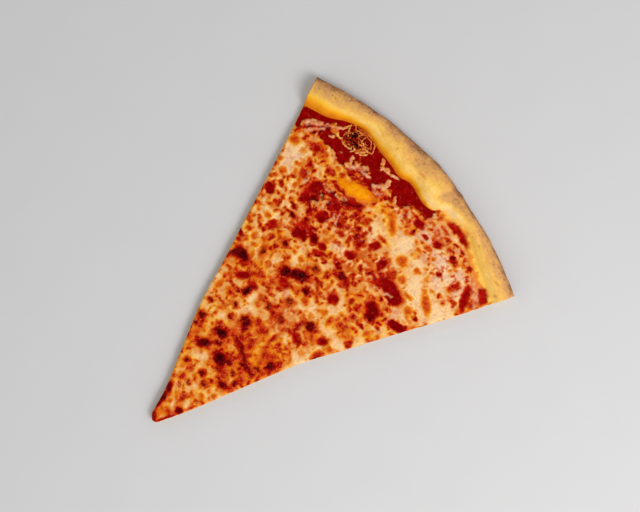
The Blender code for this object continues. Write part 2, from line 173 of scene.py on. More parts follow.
# Places where red sauce shows through the cheese
SAUCE_PATCHES = [
    (-5, 36, 2, 1.6, 0, 0.6), (5, 31, 2.2, 2.8, 0, 0.75), (13, 36.5, 2.2, 1.8, 0, 0.65),
    (-7.5, 49.5, 3, 2.8, 0, 0.6), (0, 54, 3.4, 3.4, 0, 0.4), (-21, 67, 2.4, 2, 0, 0.6),
    (-16.5, 66, 3, 2.6, 30, 0.8), (-11, 63, 2, 1.4, 0, 0.5), (12, 65, 3, 2.4, 0, 0.6),
    (-3, 91, 4, 3, 30, 0.9), (3, 86.5, 4, 2, -15, 0.8), (-29, 98.5, 4.6, 1.2, 0, 0.7),
    (-3, 97, 2.6, 3.4, 0, 0.9), (7, 106, 3.2, 5, -40, 0.7), (25.5, 106, 2.4, 2, 0, 0.6),
    (33, 104, 2, 1.4, 0, 0.6), (-33, 112.5, 4.4, 1.8, 0, 0.9), (-26.5, 112, 2, 1.8, 0, 1),
    (16.5, 108, 2, 5.6, 0, 0.8), (-43.5, 118.5, 3, 1.6, 0, 0.65), (-32.5, 122.5, 6.6, 2.8, 38, 0.95),
    (-21, 123, 3.6, 2.2, 10, 0.95), (-12.5, 121, 2.2, 2.6, 0, 0.55), (26.5, 121, 4.6, 3.2, -20, 0.9),
    (-40, 126.5, 3, 1.8, 20, 0.8), (-17, 129.5, 2.6, 1.6, 0, 0.75), (-9, 128.5, 3.4, 1.3, 20, 0.7),
    (21.5, 128, 1.9, 4.4, 0, 0.9), (46.5, 124, 3, 4.6, -30, 0.7), (-15, 134.5, 2.6, 3.2, 20, 0.65),
    (-8, 135.5, 2.4, 2, 0, 0.8), (11, 132.5, 2, 1.5, 0, 0.5), (41, 133.5, 4.6, 3, 45, 0.9),
    (-57, 142, 3, 1.8, -30, 0.9), (-26.5, 141, 2.2, 3.4, 20, 0.5), (-8.5, 140.5, 4.6, 3.2, 0, 0.95),
    (55, 147, 2.4, 4.4, 20, 0.9), (-60, 152.5, 3, 2.2, -45, 0.6), (14, 155, 3, 1.6, 0, 0.6),
    (42, 151, 4.4, 3, 30, 0.7), (-45, 162, 3, 5.6, -30, 0.85), (-40, 156, 2, 2.8, 0, 0.6),
    (7, 159.5, 3.8, 2.4, 0, 1), (23, 160, 4.2, 4, 0, 1), (43, 161.5, 3, 2.4, 0, 0.8),
    (51, 161.5, 2.8, 1.4, 0, 1), (-37, 169, 4.6, 1.3, 20, 0.4), (-29, 170.5, 3.6, 2.2, 20, 0.95),
    (19, 170, 2, 2, 0, 0.6), (33.5, 168, 2.4, 3, 20, 0.8), (60.5, 169.5, 2.2, 1.5, 0, 0.8),
    (-67, 178.5, 4.6, 3.4, -20, 1), (-56, 176, 2.6, 3.6, -20, 0.75), (-47, 173, 2, 2.2, 0, 0.7),
    (-30, 174.5, 4, 3.2, 0, 1), (-27, 178, 5, 2.8, 35, 0.95), (-24.5, 173.5, 3.4, 3, 40, 1),
    (-16, 176, 2.6, 2.2, 0, 0.8), (-10, 179, 3.6, 2.4, 0, 1), (-8, 173.5, 6, 2.4, 30, 1),
    (-1.5, 172.5, 2, 1.8, 0, 0.8), (8, 178.5, 3.8, 3, 0, 1), (22, 173, 3, 2.4, 0, 0.8),
    (25, 178, 3, 1.3, 10, 0.7), (48, 174, 8, 6.4, -25, 0.5), (67.5, 180, 6.2, 3.2, 15, 1),
    (-64, 187, 2.4, 2, 0, 0.7), (-46, 183, 3.6, 1.8, 0, 1), (-32, 182, 2.6, 4.2, -20, 1),
    (-25, 182.5, 4, 2.2, 20, 1), (36, 186, 3, 1.6, 0, 0.3), (-46, 193, 2.6, 5, 0, 0.95),
    (-26, 194, 4, 3.6, 0, 0.95), (-8, 195, 3, 2.4, 20, 0.75), (-5, 188.5, 3.6, 2.2, 20, 0.6),
    (7, 189.5, 4.4, 2.4, 15, 0.85), (9, 192, 4, 2.4, 20, 0.6), (20, 189, 2.6, 2.2, 0, 1),
    (47, 195, 12, 5.4, -8, 1), (-62.5, 197.5, 2.2, 1.8, 0, 0.7), (-45, 203, 4.4, 5.4, 0, 1),
    (-27, 201, 2, 2, 0, 0.6), (-22, 200, 2.4, 2, 0, 0.7), (-15.5, 197, 2, 6, -45, 0.8),
    (-12, 199, 3, 2, 30, 0.45), (-8, 202, 2, 2, 0, 0.6), (-1, 198, 2, 3.4, 10, 0.7),
    (14, 198, 2.2, 3, 0, 0.6), (28, 203, 2.8, 6, 0, 0.75), (-64, 208, 2.4, 3, 0, 0.25),
    (-60, 211, 3, 1.8, 0, 0.7), (-59, 204, 3, 4.4, 30, 0.75), (-33, 210, 5, 2, 10, 0.85),
    (-24, 207, 4, 3, 30, 0.8), (-9.5, 211.5, 4, 2.4, 15, 0.75), (3, 207, 2, 3, 0, 0.7),
    (15, 207, 3, 5, -30, 0.75), (38, 204.5, 4.6, 2.2, -40, 0.6), (-62, 213, 2.4, 2, 0, 0.7),
    (-46.5, 219, 4.2, 2.6, 0, 0.75), (-34, 216, 7, 1.1, 4, 0.6), (-21, 214.5, 10, 2.2, 18, 1),
    (-2, 216, 3, 3, 0, 0.7), (3, 213, 2, 1.6, 0, 0.7), (-76.5, 228, 2, 2, 0, 1), (-68, 222, 5, 3, 20, 0.6),
    (-65, 224.5, 4.4, 3, 0, 0.6), (83, 222.5, 3, 2, -30, 0.7), (-82, 228.5, 1.4, 1.6, 0, 0.8),
    (-36, 229, 4.6, 2.2, -5, 0.85), (-25, 234, 3, 3, 0, 0.6), (61, 228.5, 2, 2, 0, 0.85),
    (75, 231, 3.2, 5, -15, 0.7), (86, 231, 3, 9.5, 32, 1), (-5.5, 237, 3.6, 2, 10, 0.75),
    (11.5, 239.5, 2.6, 3, 0, 0.5), (13.5, 238.5, 1.5, 2.6, 30, 0.7), (24, 242, 4.6, 3.4, 0, 0.9),
    (26, 236, 1.6, 2.6, 0, 0.9), (33, 239.5, 2.4, 1.4, 20, 0.7), (44, 242, 3.8, 3.2, 10, 0.8),
    (58.5, 244, 2.4, 2.4, 0, 0.75), (77, 241, 1.2, 2, 20, 0.6), (92.5, 242.4, 6, 4.2, -25, 1),
    (96, 238, 3.4, 3, 0, 1), (30, 249, 3, 1.6, 20, 0.5), (38, 246.5, 2, 1.6, 0, 0.3),
    (46, 249.5, 3, 1.4, 10, 0.6), (60, 251.5, 2, 1.4, 0, 0.8), (60.5, 251.8, 1.8, 1, 0, 0.7),
    (66, 250, 1.8, 1.4, 0, 0.6), (72, 248.5, 1.9, 1.7, 0, 1), (41, 252.5, 4, 1.4, 0, 0.55),
    (47, 259.6, 11, 3.2, -3, 1), (54, 258.6, 8, 2, -14, 1),
]  # fmt: skip

# Larger pools of it, smooth and wet
RED_POOLS = [
    (10.5, 23, 3.6, 2.6, 0, 0.8), (-33, 122, 5.6, 2.8, 52, 0.95), (-24, 122.5, 3.4, 2.4, 30, 0.8),
    (27, 120.5, 4.2, 3, -20, 0.8), (46.5, 123, 2.6, 5, -28, 0.4), (41, 133, 4.6, 2.8, 50, 0.8),
    (-8.5, 140.5, 4.6, 3.2, 0, 0.9), (-47, 162.5, 2.6, 5, -20, 0.85), (24, 159.5, 4, 4.4, 0, 0.9),
    (-28, 171.5, 5, 3.2, 20, 0.9), (-67, 178.5, 4.8, 3.6, -20, 1), (-30.5, 178.5, 4, 4.6, -20, 0.85),
    (-19.5, 178.5, 4.6, 3.2, -10, 0.9), (-10, 179, 3.8, 2.4, 0, 0.9), (-8.5, 173.8, 5, 2.2, 26, 0.9),
    (48, 175, 7, 5, -25, 0.7), (67.5, 179.8, 6, 3.4, 15, 1), (-45, 194, 3.4, 6, 10, 0.95),
    (-33, 189.5, 4, 2, 0, 0.45), (-26, 193, 4.8, 4.6, 0, 1), (8, 189.5, 4.6, 3, 20, 0.9),
    (37, 192, 6, 2.6, 30, 0.9), (46, 195.5, 11, 3.8, -10, 1), (53, 192.5, 6, 4.6, 0, 1),
    (-46, 198.5, 3.2, 4, 0, 0.9), (-46, 203, 4, 6, 0, 1), (-19, 202.5, 4, 1.8, -40, 0.8),
    (46, 198.5, 4, 2, 0, 0.6), (-60, 209.5, 2.8, 2.2, 0, 0.4), (-40, 207.5, 4, 2.2, 0, 0.9),
    (-35, 207.6, 9, 2, 6, 0.95), (-25, 205, 4.6, 2.6, 30, 0.9), (14, 208, 3, 4.6, -30, 0.7),
    (-33, 215.6, 6, 1.2, 4, 0.9), (-17, 217, 5, 1.8, 26, 0.9), (91, 223.5, 2, 3, 20, 0.5),
    (-29, 230.5, 3, 1.5, 0, 0.5), (-24, 235.5, 4.4, 2.2, 0, 0.7), (61, 228.5, 2.8, 2.2, 0, 0.5),
    (86.5, 230.5, 3.4, 7.5, 32, 1), (24, 242.5, 4.4, 3.4, 0, 0.8), (34, 239, 2.8, 1.8, 20, 1),
    (44, 242, 4.2, 3, 10, 0.6), (59.5, 243, 3, 2.8, 0, 0.9), (82.5, 237, 2.6, 3.4, 20, 1),
    (92, 243, 5, 4.2, -25, 1), (95.5, 240, 4.2, 3.6, 0, 1), (72, 248.2, 2.4, 2, 0, 0.8),
    (44, 259.4, 8, 2.6, 8, 1), (54, 258.6, 7, 2.2, -16, 0.65),
]  # fmt: skip

# Where the sauce shows darkest, cooked down under the cheese
DEEP_PATCHES = [
    (-32.5, 122.5, 5.6, 2.2, 38, 0.6), (48, 122.5, 1.8, 3.6, -30, 0.5), (41, 134, 3.4, 2.2, 45, 0.6),
    (-57, 142, 2.4, 1.6, -30, 0.6), (6, 149, 3.4, 2.4, 0, 0.6), (22.5, 160, 3.8, 3.6, 0, 0.5),
    (-29, 170.5, 3, 2, 20, 0.6), (-67, 178.5, 4, 3, -20, 0.5), (-30, 174, 3.4, 2.6, 0, 0.6),
    (-25, 174, 4, 2.6, 40, 0.6), (-20, 178, 3, 2, 0, 0.6), (-10, 178.5, 3.4, 2.2, 0, 0.3),
    (48, 176, 6, 3.6, -10, 0.8), (68, 181, 6.4, 3.2, 15, 0.8), (-45, 193, 3, 4, 0, 0.5),
    (-27, 193, 4.4, 3.6, 0, 0.3), (-26, 191.5, 4, 3, 0, 0.4), (8, 189.5, 3.4, 1.8, 15, 0.6),
    (46, 194.5, 12, 4.6, -8, 0.6), (53, 192, 5, 4, 0, 0.5), (28, 203, 2.4, 4, 0, 0.4),
    (-45, 204, 4, 5.4, 0, 0.6), (-33, 209.5, 5, 1.8, 8, 0.7), (-24, 206, 4, 3, 30, 0.5),
    (14, 208, 2.4, 3.6, -30, 0.5), (-34, 217, 6, 1.2, 4, 0.6), (-24, 234, 2, 2, 0, 0.4),
    (60.5, 229, 2, 1.8, 0, 0.4), (74.5, 232, 2.2, 4, -15, 0.4), (86.5, 231, 2, 7, 32, 0.5),
    (24, 242.5, 3.6, 2.6, 0, 0.5), (44, 242, 3, 2.2, 10, 0.5), (59, 243.5, 2, 2, 0, 0.7),
]  # fmt: skip

# The sauce left bare beside the rim
BARE_SAUCE = [
    (-90, 228, 2.6, 6, 20, 1), (-66, 232, 6, 2.6, 0, 1), (-58, 235, 15, 4.6, 0, 1),
    (-47, 233.2, 9, 5, 0, 1), (-88, 236, 4, 6.5, -25, 1), (-80, 244, 9, 3, 33, 1), (-47, 239, 8, 4, 10, 1),
    (-22, 243.5, 6, 5.5, 0, 1), (-73, 248, 5, 2.4, 30, 1), (-69, 250.5, 6, 2.8, 30, 1),
    (-62, 247, 4, 6, 0, 1), (-50, 249, 13, 10, 0, 1), (-33, 246, 8, 7.5, 0, 1), (-14, 247, 4, 3, 0, 1),
    (-12.5, 246, 6.5, 4.6, 0, 1), (0, 248, 10, 9, 0, 1), (-28, 252, 12, 3.4, 0, 1), (-11, 252, 6, 4, 0, 1),
    (13, 252, 9, 4.4, 8, 1), (22, 253, 4.2, 5, 0, 1),
]  # fmt: skip
SAUCE_ENDS = 5.6  # degrees from the slice's middle to which the sauce lies bare along the rim

# How far the rim's dough runs out into the cheese: (degrees from the slice's middle, millimetres)
DOUGH_BAND = [(-22.3, 0), (5.6, 0), (7, 2), (9, 2.6), (12, 2.8), (14.5, 4.2), (22.3, 4.4)]
SKIN_FROM = 6  # degrees from which that dough runs up the rim's slope
SKIN_BLEND = 1.3  # how rounded the corner between them is

# More toasted places, orange red between their spots
TOASTED_ZONES = [
    (0, 12, 6, 8, 0, 0.6), (2, 34, 9, 10, 0, 0.6), (-13, 66, 8, 7, 30, 0.7), (-12, 66, 6, 5, 0, 0.5),
    (12, 66, 6, 5, 0, 0.6), (12, 65, 6, 4, 0, 0.4), (-24, 72, 5, 8, 20, 0.7), (6, 78, 12, 7, -15, 0.9),
    (0, 90, 7, 5, 0, 1), (0, 90, 8, 6, 0, 0.6), (0, 90, 13, 9, 0, 1), (24, 92, 9, 8, 0, 0.8),
    (-32, 123, 9, 5, 35, 0.4), (-46, 124, 6, 5, 0, 0.9), (-18, 126, 13, 6, 0, 0.7),
    (-12, 138, 7, 6, 0, 0.8), (24, 150, 5, 4, 0, 0.3), (-36, 162, 7, 6, 0, 0.6), (60, 162, 6, 4, 0, 0.5),
    (-30, 176, 12, 9, 30, 0.6), (0, 174, 6, 4, 0, 0.4), (23, 174, 9, 6, 0, 0.8), (24, 175, 6, 4, 0, 0.9),
    (30, 174, 13, 6, 0, 0.7), (50, 174, 9, 8, -20, 0.6), (-48, 187, 7, 4, 0, 0.5),
    (-36, 187, 7, 5, 0, 0.6), (60, 186, 6, 4, 0, 0.5), (-16, 201, 10, 8, 0, 0.7),
    (-40, 206, 12, 9, 0, 0.6), (-24, 212, 12, 4, 0, 0.5), (-70, 223, 8, 4, 20, 0.7),
    (-60, 221, 7, 4, 0, 0.7), (-83, 232, 6, 6, 0, 0.9), (-40, 232, 8, 4, 0, 0.7),
    (-22, 234, 14, 5, 10, 0.7), (36, 236, 8, 4, 0, 0.4), (24, 246, 7, 5, 0, 0.5), (38, 249, 9, 6, 0, 0.6),
    (46, 248, 9, 5, -10, 0.6), (60, 246, 7, 5, -20, 0.6), (75, 246, 7, 5, -20, 0.6),
]  # fmt: skip

# Thick pale cheese
PALE_ZONES = [
    (5, 22, 1.6, 6, 30, 0.8), (10, 30.5, 3, 3.5, 0, 0.6), (1, 39, 5, 5, 0, 0.5), (-8, 62, 5.5, 5, 0, 0.6),
    (-28, 90, 9, 6, 0, 0.5), (-12, 102, 5, 4, 0, 0.5), (-14, 116, 6, 5, 20, 0.6), (-13, 108, 6, 5, 0, 0.6),
    (-1, 114, 7, 5, 0, 0.7), (38, 113, 5, 5, 0, 0.6), (42, 116, 6, 4, 0, 0.6), (-36, 138, 6, 4, 0, 0.6),
    (-25, 138, 6, 5, 0, 0.4), (12, 139, 5, 4, 0, 0.6), (24, 138, 6, 4, 0, 0.7), (36, 139, 6, 4, 0, 0.6),
    (50, 139, 4, 6, 0, 0.8), (-46, 146, 8, 5, 0, 0.35), (-37, 140, 5, 4, 0, 0.7), (22, 142, 7, 4, 0, 0.6),
    (36, 141, 7, 5, 0, 0.8), (48, 140, 8, 6, 0, 0.9), (-24, 149, 5, 5, 0, 0.5), (49, 152, 4, 5, 0, 0.5),
    (-12, 164, 7, 3, 0, 0.2), (-60, 167, 6, 7, 20, 0.35), (28, 165, 3, 10, -30, 0.5),
    (68, 168, 4, 6, 0, 0.4), (-38, 172, 3, 4, 0, 0.5), (-2, 187, 10, 4, 10, 0.6), (-1, 186, 9, 5, 10, 1),
    (24, 187, 6, 3, 0, 0.5), (2, 197, 5, 3, 0, 0.6), (12, 198, 5, 4, 0, 0.6), (14, 197, 5, 3, 0, 0.5),
    (24, 198, 5, 3, 0, 0.5), (60, 201, 10, 5, -20, 0.7), (-73, 206, 7, 12, 22, 0.9),
    (58, 212, 25, 9, -24, 1), (78, 212, 8, 6, -20, 0.8), (80, 208, 9, 11, 0, 1), (36, 215, 20, 8, 0, 0.6),
    (-10, 222, 4, 4, 0, 0.8), (-10, 222, 5, 4, 0, 0.5), (11, 222, 15, 7, -15, 1), (32, 222, 17, 8, -10, 1),
    (48, 223, 9, 6, 0, 0.9), (58, 224, 12, 6, -20, 0.7), (72, 221, 9, 5, -25, 0.6),
    (60, 232, 14, 6, -30, 0.7),
]  # fmt: skip

# Small cream-coloured places
CREAM_SPOTS = [
    (5, 22.5, 1.6, 5.5, 35, 1), (10.5, 30.5, 2.4, 3.2, 0, 0.9), (3, 41, 3, 5, -15, 0.9),
    (-12, 44, 3, 4, -20, 0.6), (4, 46, 2, 2.4, 0, 0.6), (22, 50, 2.2, 5, -15, 0.8),
    (-8, 62, 4.5, 3.5, 0, 0.6), (-39, 97, 2, 3, 0, 0.5), (-22, 92, 5, 3, 0, 0.6), (-10, 92, 3, 3, 0, 0.8),
    (-4, 92, 3, 3, 0, 0.5), (-12, 103, 3, 3, 0, 0.6), (-14, 116, 5, 3.5, 20, 0.4),
    (-2, 113, 5, 2, 20, 0.7), (27, 113, 6, 2, 0, 0.7), (38, 112, 4, 4, 0, 0.7),
    (-14, 127, 5, 1.4, -10, 0.6), (13, 127, 5, 2.4, 30, 0.7), (50, 127, 2, 4, -30, 0.7),
    (-36, 138, 4, 3, 0, 0.6), (12, 138, 3, 3, 0, 0.6), (14, 139, 3, 2, 0, 0.6), (22, 139, 5, 2.4, 0, 0.6),
    (35, 138, 3.4, 3, 0, 0.6), (36, 139, 4, 2, 0, 0.7), (-20, 140.5, 4, 3, 0, 0.8),
    (48, 140, 7, 3, 0, 0.8), (-46, 150, 3, 2.4, 0, 0.5), (-24, 149, 4, 3, 0, 0.6),
    (30, 152, 3, 5, -20, 0.5), (48, 151, 3, 3, 0, 0.6), (-62, 169, 3, 6, 15, 0.6),
    (-14, 172, 3, 3, 0, 0.9), (3, 172, 4, 2, 20, 0.6), (-70, 186, 3, 4, 0, 0.5), (-54, 187, 3, 3, 0, 0.6),
    (-12, 186, 5, 3, 0, 0.7), (2, 184, 3, 2, 0, 0.7), (2, 187, 7, 2.6, 10, 0.6), (4, 185, 5, 2.4, 0, 0.6),
    (28, 186, 4, 2, 0, 0.5), (36, 184, 4, 2.4, 0, 0.6), (70, 187, 4, 2.4, 0, 0.6),
    (-71, 188, 3, 3, 0, 0.6), (25, 196, 4, 3, 0, 0.7), (72, 190, 4, 2.4, 0, 0.5), (74, 190, 4, 3, 0, 0.7),
    (14, 199, 3, 3, 0, 0.6), (22, 198, 4, 2.6, 0, 0.5), (24, 198, 4, 2, 0, 0.8), (73, 199, 4, 3, 0, 0.7),
    (-50, 211.5, 3, 2.4, 0, 0.6), (36, 209, 5, 3, -20, 0.7), (57, 211, 6, 3, -20, 0.6),
    (77, 212, 6, 4, -20, 0.7), (84, 205, 3, 4, 0, 0.6), (-82, 222, 3, 3, 0, 0.6), (-14, 224, 2, 3, 0, 0.5),
    (-9, 222, 3.4, 3, 30, 0.9), (46, 222, 6, 3.4, 0, 0.6), (76, 237, 3, 3, 0, 0.6),
    (62, 247, 4, 2.4, 0, 0.6),
]  # fmt: skip

# A blister of the dough under the cheese, smooth and yellow with oil
BUBBLES = [(-23.5, 224, 14, 5.6, 17, 1), (-33, 220.5, 7, 3.6, 5, 0.7), (-12.5, 228.6, 5, 3, 20, 0.5)]

# Orange places, wet with oil
OIL_ZONES = [
    (2, 14, 4, 7, 0, 0.7), (10, 40, 8, 12, 0, 0.5), (-17, 44, 4, 15, -22, 0.8), (-20, 57, 4, 9, 10, 0.8),
    (21, 73, 8, 6, -15, 0.95), (-20, 78, 8, 6, 0, 0.4), (30, 82, 4, 8, -20, 0.8), (-37, 88, 6, 6, 0, 0.6),
    (18, 90, 14, 9, 0, 0.8), (3, 94, 6, 8, 0, 0.6), (20, 104, 16, 9, 0, 0.7), (-35, 130, 10, 9, 0, 0.4),
    (8, 145, 9, 6, 0, 0.4), (42, 146, 10, 7, 0, 0.5), (-60, 150, 4, 8, 20, 0.5), (-31, 152, 7, 9, 0, 0.4),
    (52, 155, 9, 6, 0, 0.4), (66, 173, 5, 4, 0, 0.7), (-36, 199, 7, 7, 0, 0.9), (-39, 211, 6, 4, 0, 0.9),
    (-28, 212, 6, 3, 0, 0.9), (-12, 208, 9, 6, 0, 0.5), (-42, 219, 9, 5, -10, 0.8),
    (44, 214, 12, 7, -10, 0.3), (62, 216, 9, 5, -25, 0.35), (-62, 222, 8, 5, 0, 0.4),
    (-52, 220, 10, 6, 0, 0.5), (-26, 224, 22, 9, 12, 0.8), (-6, 228, 10, 5, -5, 0.9),
    (-2, 224, 8, 7, 0, 0.5), (8, 228, 10, 6, -30, 0.6), (10, 222, 15, 8, -15, 0.45),
    (-4, 231, 8, 5, 30, 0.9),
]  # fmt: skip

# Milky pinkish cheese
MILKY_ZONES = [
    (3, 40, 6, 6, 0, 0.6), (-10, 92, 4, 4, 0, 0.5), (-36, 112, 6, 5, 0, 0.4), (12, 118, 9, 8, 0, 0.5),
    (30, 118, 8, 4, 0, 0.6), (2, 187, 9, 5, 0, 0.6), (60, 186, 6, 5, 0, 0.6), (60, 186, 8, 5, 0, 0.5),
    (-28, 189, 8, 3, 0, 0.5), (-70, 200, 8, 9, 0, 0.4), (-34, 198, 8, 6, 0, 0.4), (8, 214, 8, 5, 0, 0.5),
    (-84, 221, 6, 4, 0, 0.7), (-48, 226, 7, 3, 0, 0.6), (-36, 232, 9, 4, 0, 0.6), (78, 229, 10, 9, 0, 1),
    (10, 240, 8, 5, 0, 0.8), (58, 237, 21, 14, -25, 1), (88, 241, 5, 5, 0, 1), (36, 245, 15, 10, -5, 1),
    (72, 245, 9, 6, -20, 1),
]  # fmt: skip

# Dark red along the cut edges
CUT_STAINS = [
    (0, 8, 1.8, 4, 20, 1), (2.6, 5.6, 4.2, 2.6, 0, 1), (6.6, 9, 1.6, 4, -20, 1), (-4, 17, 1.8, 7, 14, 1),
    (8.6, 14, 1.7, 6, -24, 1), (10.5, 22.5, 3.4, 2.6, 0, 1), (-7, 28, 2.4, 6.5, 22, 1),
    (14.5, 31, 1.3, 5, -22, 0.8), (47.5, 122, 1.8, 4.5, -28, 0.9),
]  # fmt: skip

# Lightly toasted spots in the pale cheese
TOAST_SPOTS = [
    (13, 42, 2.6, 2, 0, 0.8), (-39, 105.5, 2.2, 4, 0, 0.8), (38, 116.5, 2.4, 2, 0, 0.4),
    (22, 139.5, 2.8, 2, 0, 0.8), (-48.5, 147.5, 2.6, 2.8, 0, 0.85), (27, 148.5, 2.6, 2.8, 0, 0.85),
    (-61, 163, 2, 2, 0, 0.7), (-40, 156, 2.6, 3.6, 0, 0.95), (-20.5, 161.5, 2.4, 1.8, 0, 0.7),
    (-13, 161.5, 3, 2.4, 0, 0.75), (36, 157, 2.6, 2, 0, 0.75), (-53, 164.5, 3, 2.6, 0, 0.85),
    (-64, 187, 3, 2.6, 0, 0.8), (-16, 187, 2.8, 2.2, 0, 1), (-70, 194, 3, 2.8, 0, 0.9),
    (-56, 194, 2, 3, 0, 0.7), (66, 194.5, 3.4, 3, -20, 0.8), (72, 190, 2.8, 1.4, 0, 1),
    (-78, 198.5, 2.2, 2, 0, 0.7), (-64, 200.5, 2, 2, 0, 0.5), (-62.5, 197.5, 2.2, 1.8, 0, 0.75),
    (58, 201.5, 4, 1.8, 10, 0.7), (-67, 205, 2.6, 1.6, 20, 0.9), (46, 206, 3.2, 2.8, 0, 0.8),
    (70.5, 207.4, 8.5, 3.2, -32, 1), (-81, 215, 4, 3.6, 0, 0.95), (-71, 214.5, 3, 2.4, 0, 0.35),
    (-62, 213, 2.4, 2, 0, 0.5), (36, 215, 4.6, 4.2, 0, 0.9), (48.5, 218.5, 3, 2.4, 0, 0.8),
    (63, 212.5, 2.6, 1.6, 0, 0.6), (67, 217, 2.4, 1.6, 0, 0.4), (-73, 221, 3, 1.6, 10, 0.8),
    (-44.5, 224.5, 2, 1.6, 0, 0.7), (12, 226.4, 7, 3, -38, 1), (52, 224, 2, 1.6, 0, 0.6),
    (74, 226, 2.6, 2, 0, 0.6), (79, 222.5, 3.6, 2, -15, 0.7), (6, 231, 4, 3, 30, 0.7),
    (22.5, 231.5, 2, 2.4, 0, 0.7), (25, 234.5, 2.6, 3.6, 0, 0.8), (32, 232, 1.8, 1.4, 0, 0.6),
    (38.5, 229.5, 2.8, 1.6, 0, 0.8), (50, 233, 2, 1.6, 0, 0.6), (64, 236, 1.6, 2, 0, 0.5),
    (66, 247, 2.4, 2, 0, 0.5),
]  # fmt: skip

# Thin cheese, its shreds apart and the sauce glowing between them
THIN_ZONES = [
    (8, 100, 8, 10, 0, 0.4), (12, 125, 10, 13, 0, 0.6), (-34, 177, 12, 8, 0, 0.5),
    (14, 184, 20, 5, 0, 0.5), (-36, 200, 16, 14, 0, 1), (10, 203, 10, 9, 0, 0.6),
    (30, 197, 12, 12, 0, 0.9), (-12, 205, 13, 11, 0, 0.8), (-76, 233, 12, 6, 40, 0.8),
    (-24, 236, 16, 6, 0, 0.9), (88, 236, 6, 10, 30, 0.8),
]  # fmt: skip

# Dark creases: (path, half width)
CREASES = [
    ([(0, 88), (7, 86.5), (12, 83.5), (19, 81), (25, 79.5)], 1.8),
    ([(21, 131), (21, 126), (24, 121.5), (28, 119.5), (31, 121)], 1.1),
    ([(-24, 210.5), (-20, 213.5), (-16, 217), (-13, 219.6)], 1.7),
    ([(-38, 215.5), (-31, 215.8), (-24, 216.2), (-19, 217.5)], 0.9),
]

# Shreds of cheese lying over the bare sauce: (path, half width)
LOOSE_SHREDS = [
    ([(-86, 228), (-82, 233.5), (-78, 236.5)], 1.9),
    ([(-74, 239.5), (-69.5, 242.6), (-64.5, 246)], 1.3),
    ([(-63.5, 246.5), (-63, 250), (-62, 252)], 1.1),
    ([(-81, 225.5), (-76.8, 231), (-72.5, 236)], 1.1),
    ([(-66, 236.5), (-64.2, 237.5)], 1.3),
    ([(-52.5, 234), (-51, 234.6)], 0.7),
    ([(-28, 253.6), (-25, 250.3), (-21, 249.5), (-16, 250.5), (-11, 252)], 1.15),
    ([(-25, 250.5), (-23, 247)], 1),
    ([(-21, 251.6), (-17, 250.3), (-13, 251.3)], 1),
    ([(-13.5, 246), (-12.2, 243)], 1.7),
    ([(-43, 231.5), (-38, 234), (-34, 237), (-31, 240)], 1.9),
    ([(-44, 238), (-42, 234), (-39, 233)], 1.2),
    ([(-34, 237), (-29, 236), (-25, 238)], 1.2),
    ([(-17.5, 235), (-15, 239), (-11, 241), (-8, 240)], 1.3),
    ([(-19, 236), (-15, 233), (-10, 235)], 1.2),
    ([(-2, 242), (1, 238), (6, 236)], 1.2),
    ([(83, 245), (86, 241), (90, 238), (95, 234.5)], 1.8),
    ([(82, 246), (84, 243)], 2.6),
    ([(96, 231), (93, 235), (89, 240)], 1.6),
    ([(37, 187.8), (42, 189), (46, 190.4), (50, 192)], 0.9),
    ([(-3, 138), (-3.4, 134), (-4, 130)], 1.5),
    ([(-31, 211.5), (-28, 212), (-25, 213)], 1.2),
    ([(-43, 210), (-39, 212.5), (-35.5, 211.5), (-36.5, 209), (-40, 208.5)], 1.0),
    ([(-38, 203), (-35, 199), (-36, 196), (-39, 195)], 1.1),
    ([(-32, 204), (-33, 200), (-30, 197)], 1.0),
    ([(-22, 201), (-20, 197), (-22, 194)], 1.0),
    ([(-19, 203), (-17, 198), (-13, 194), (-12, 191)], 0.9),
    ([(-56, 207), (-53, 203), (-54, 199)], 1.3),
]


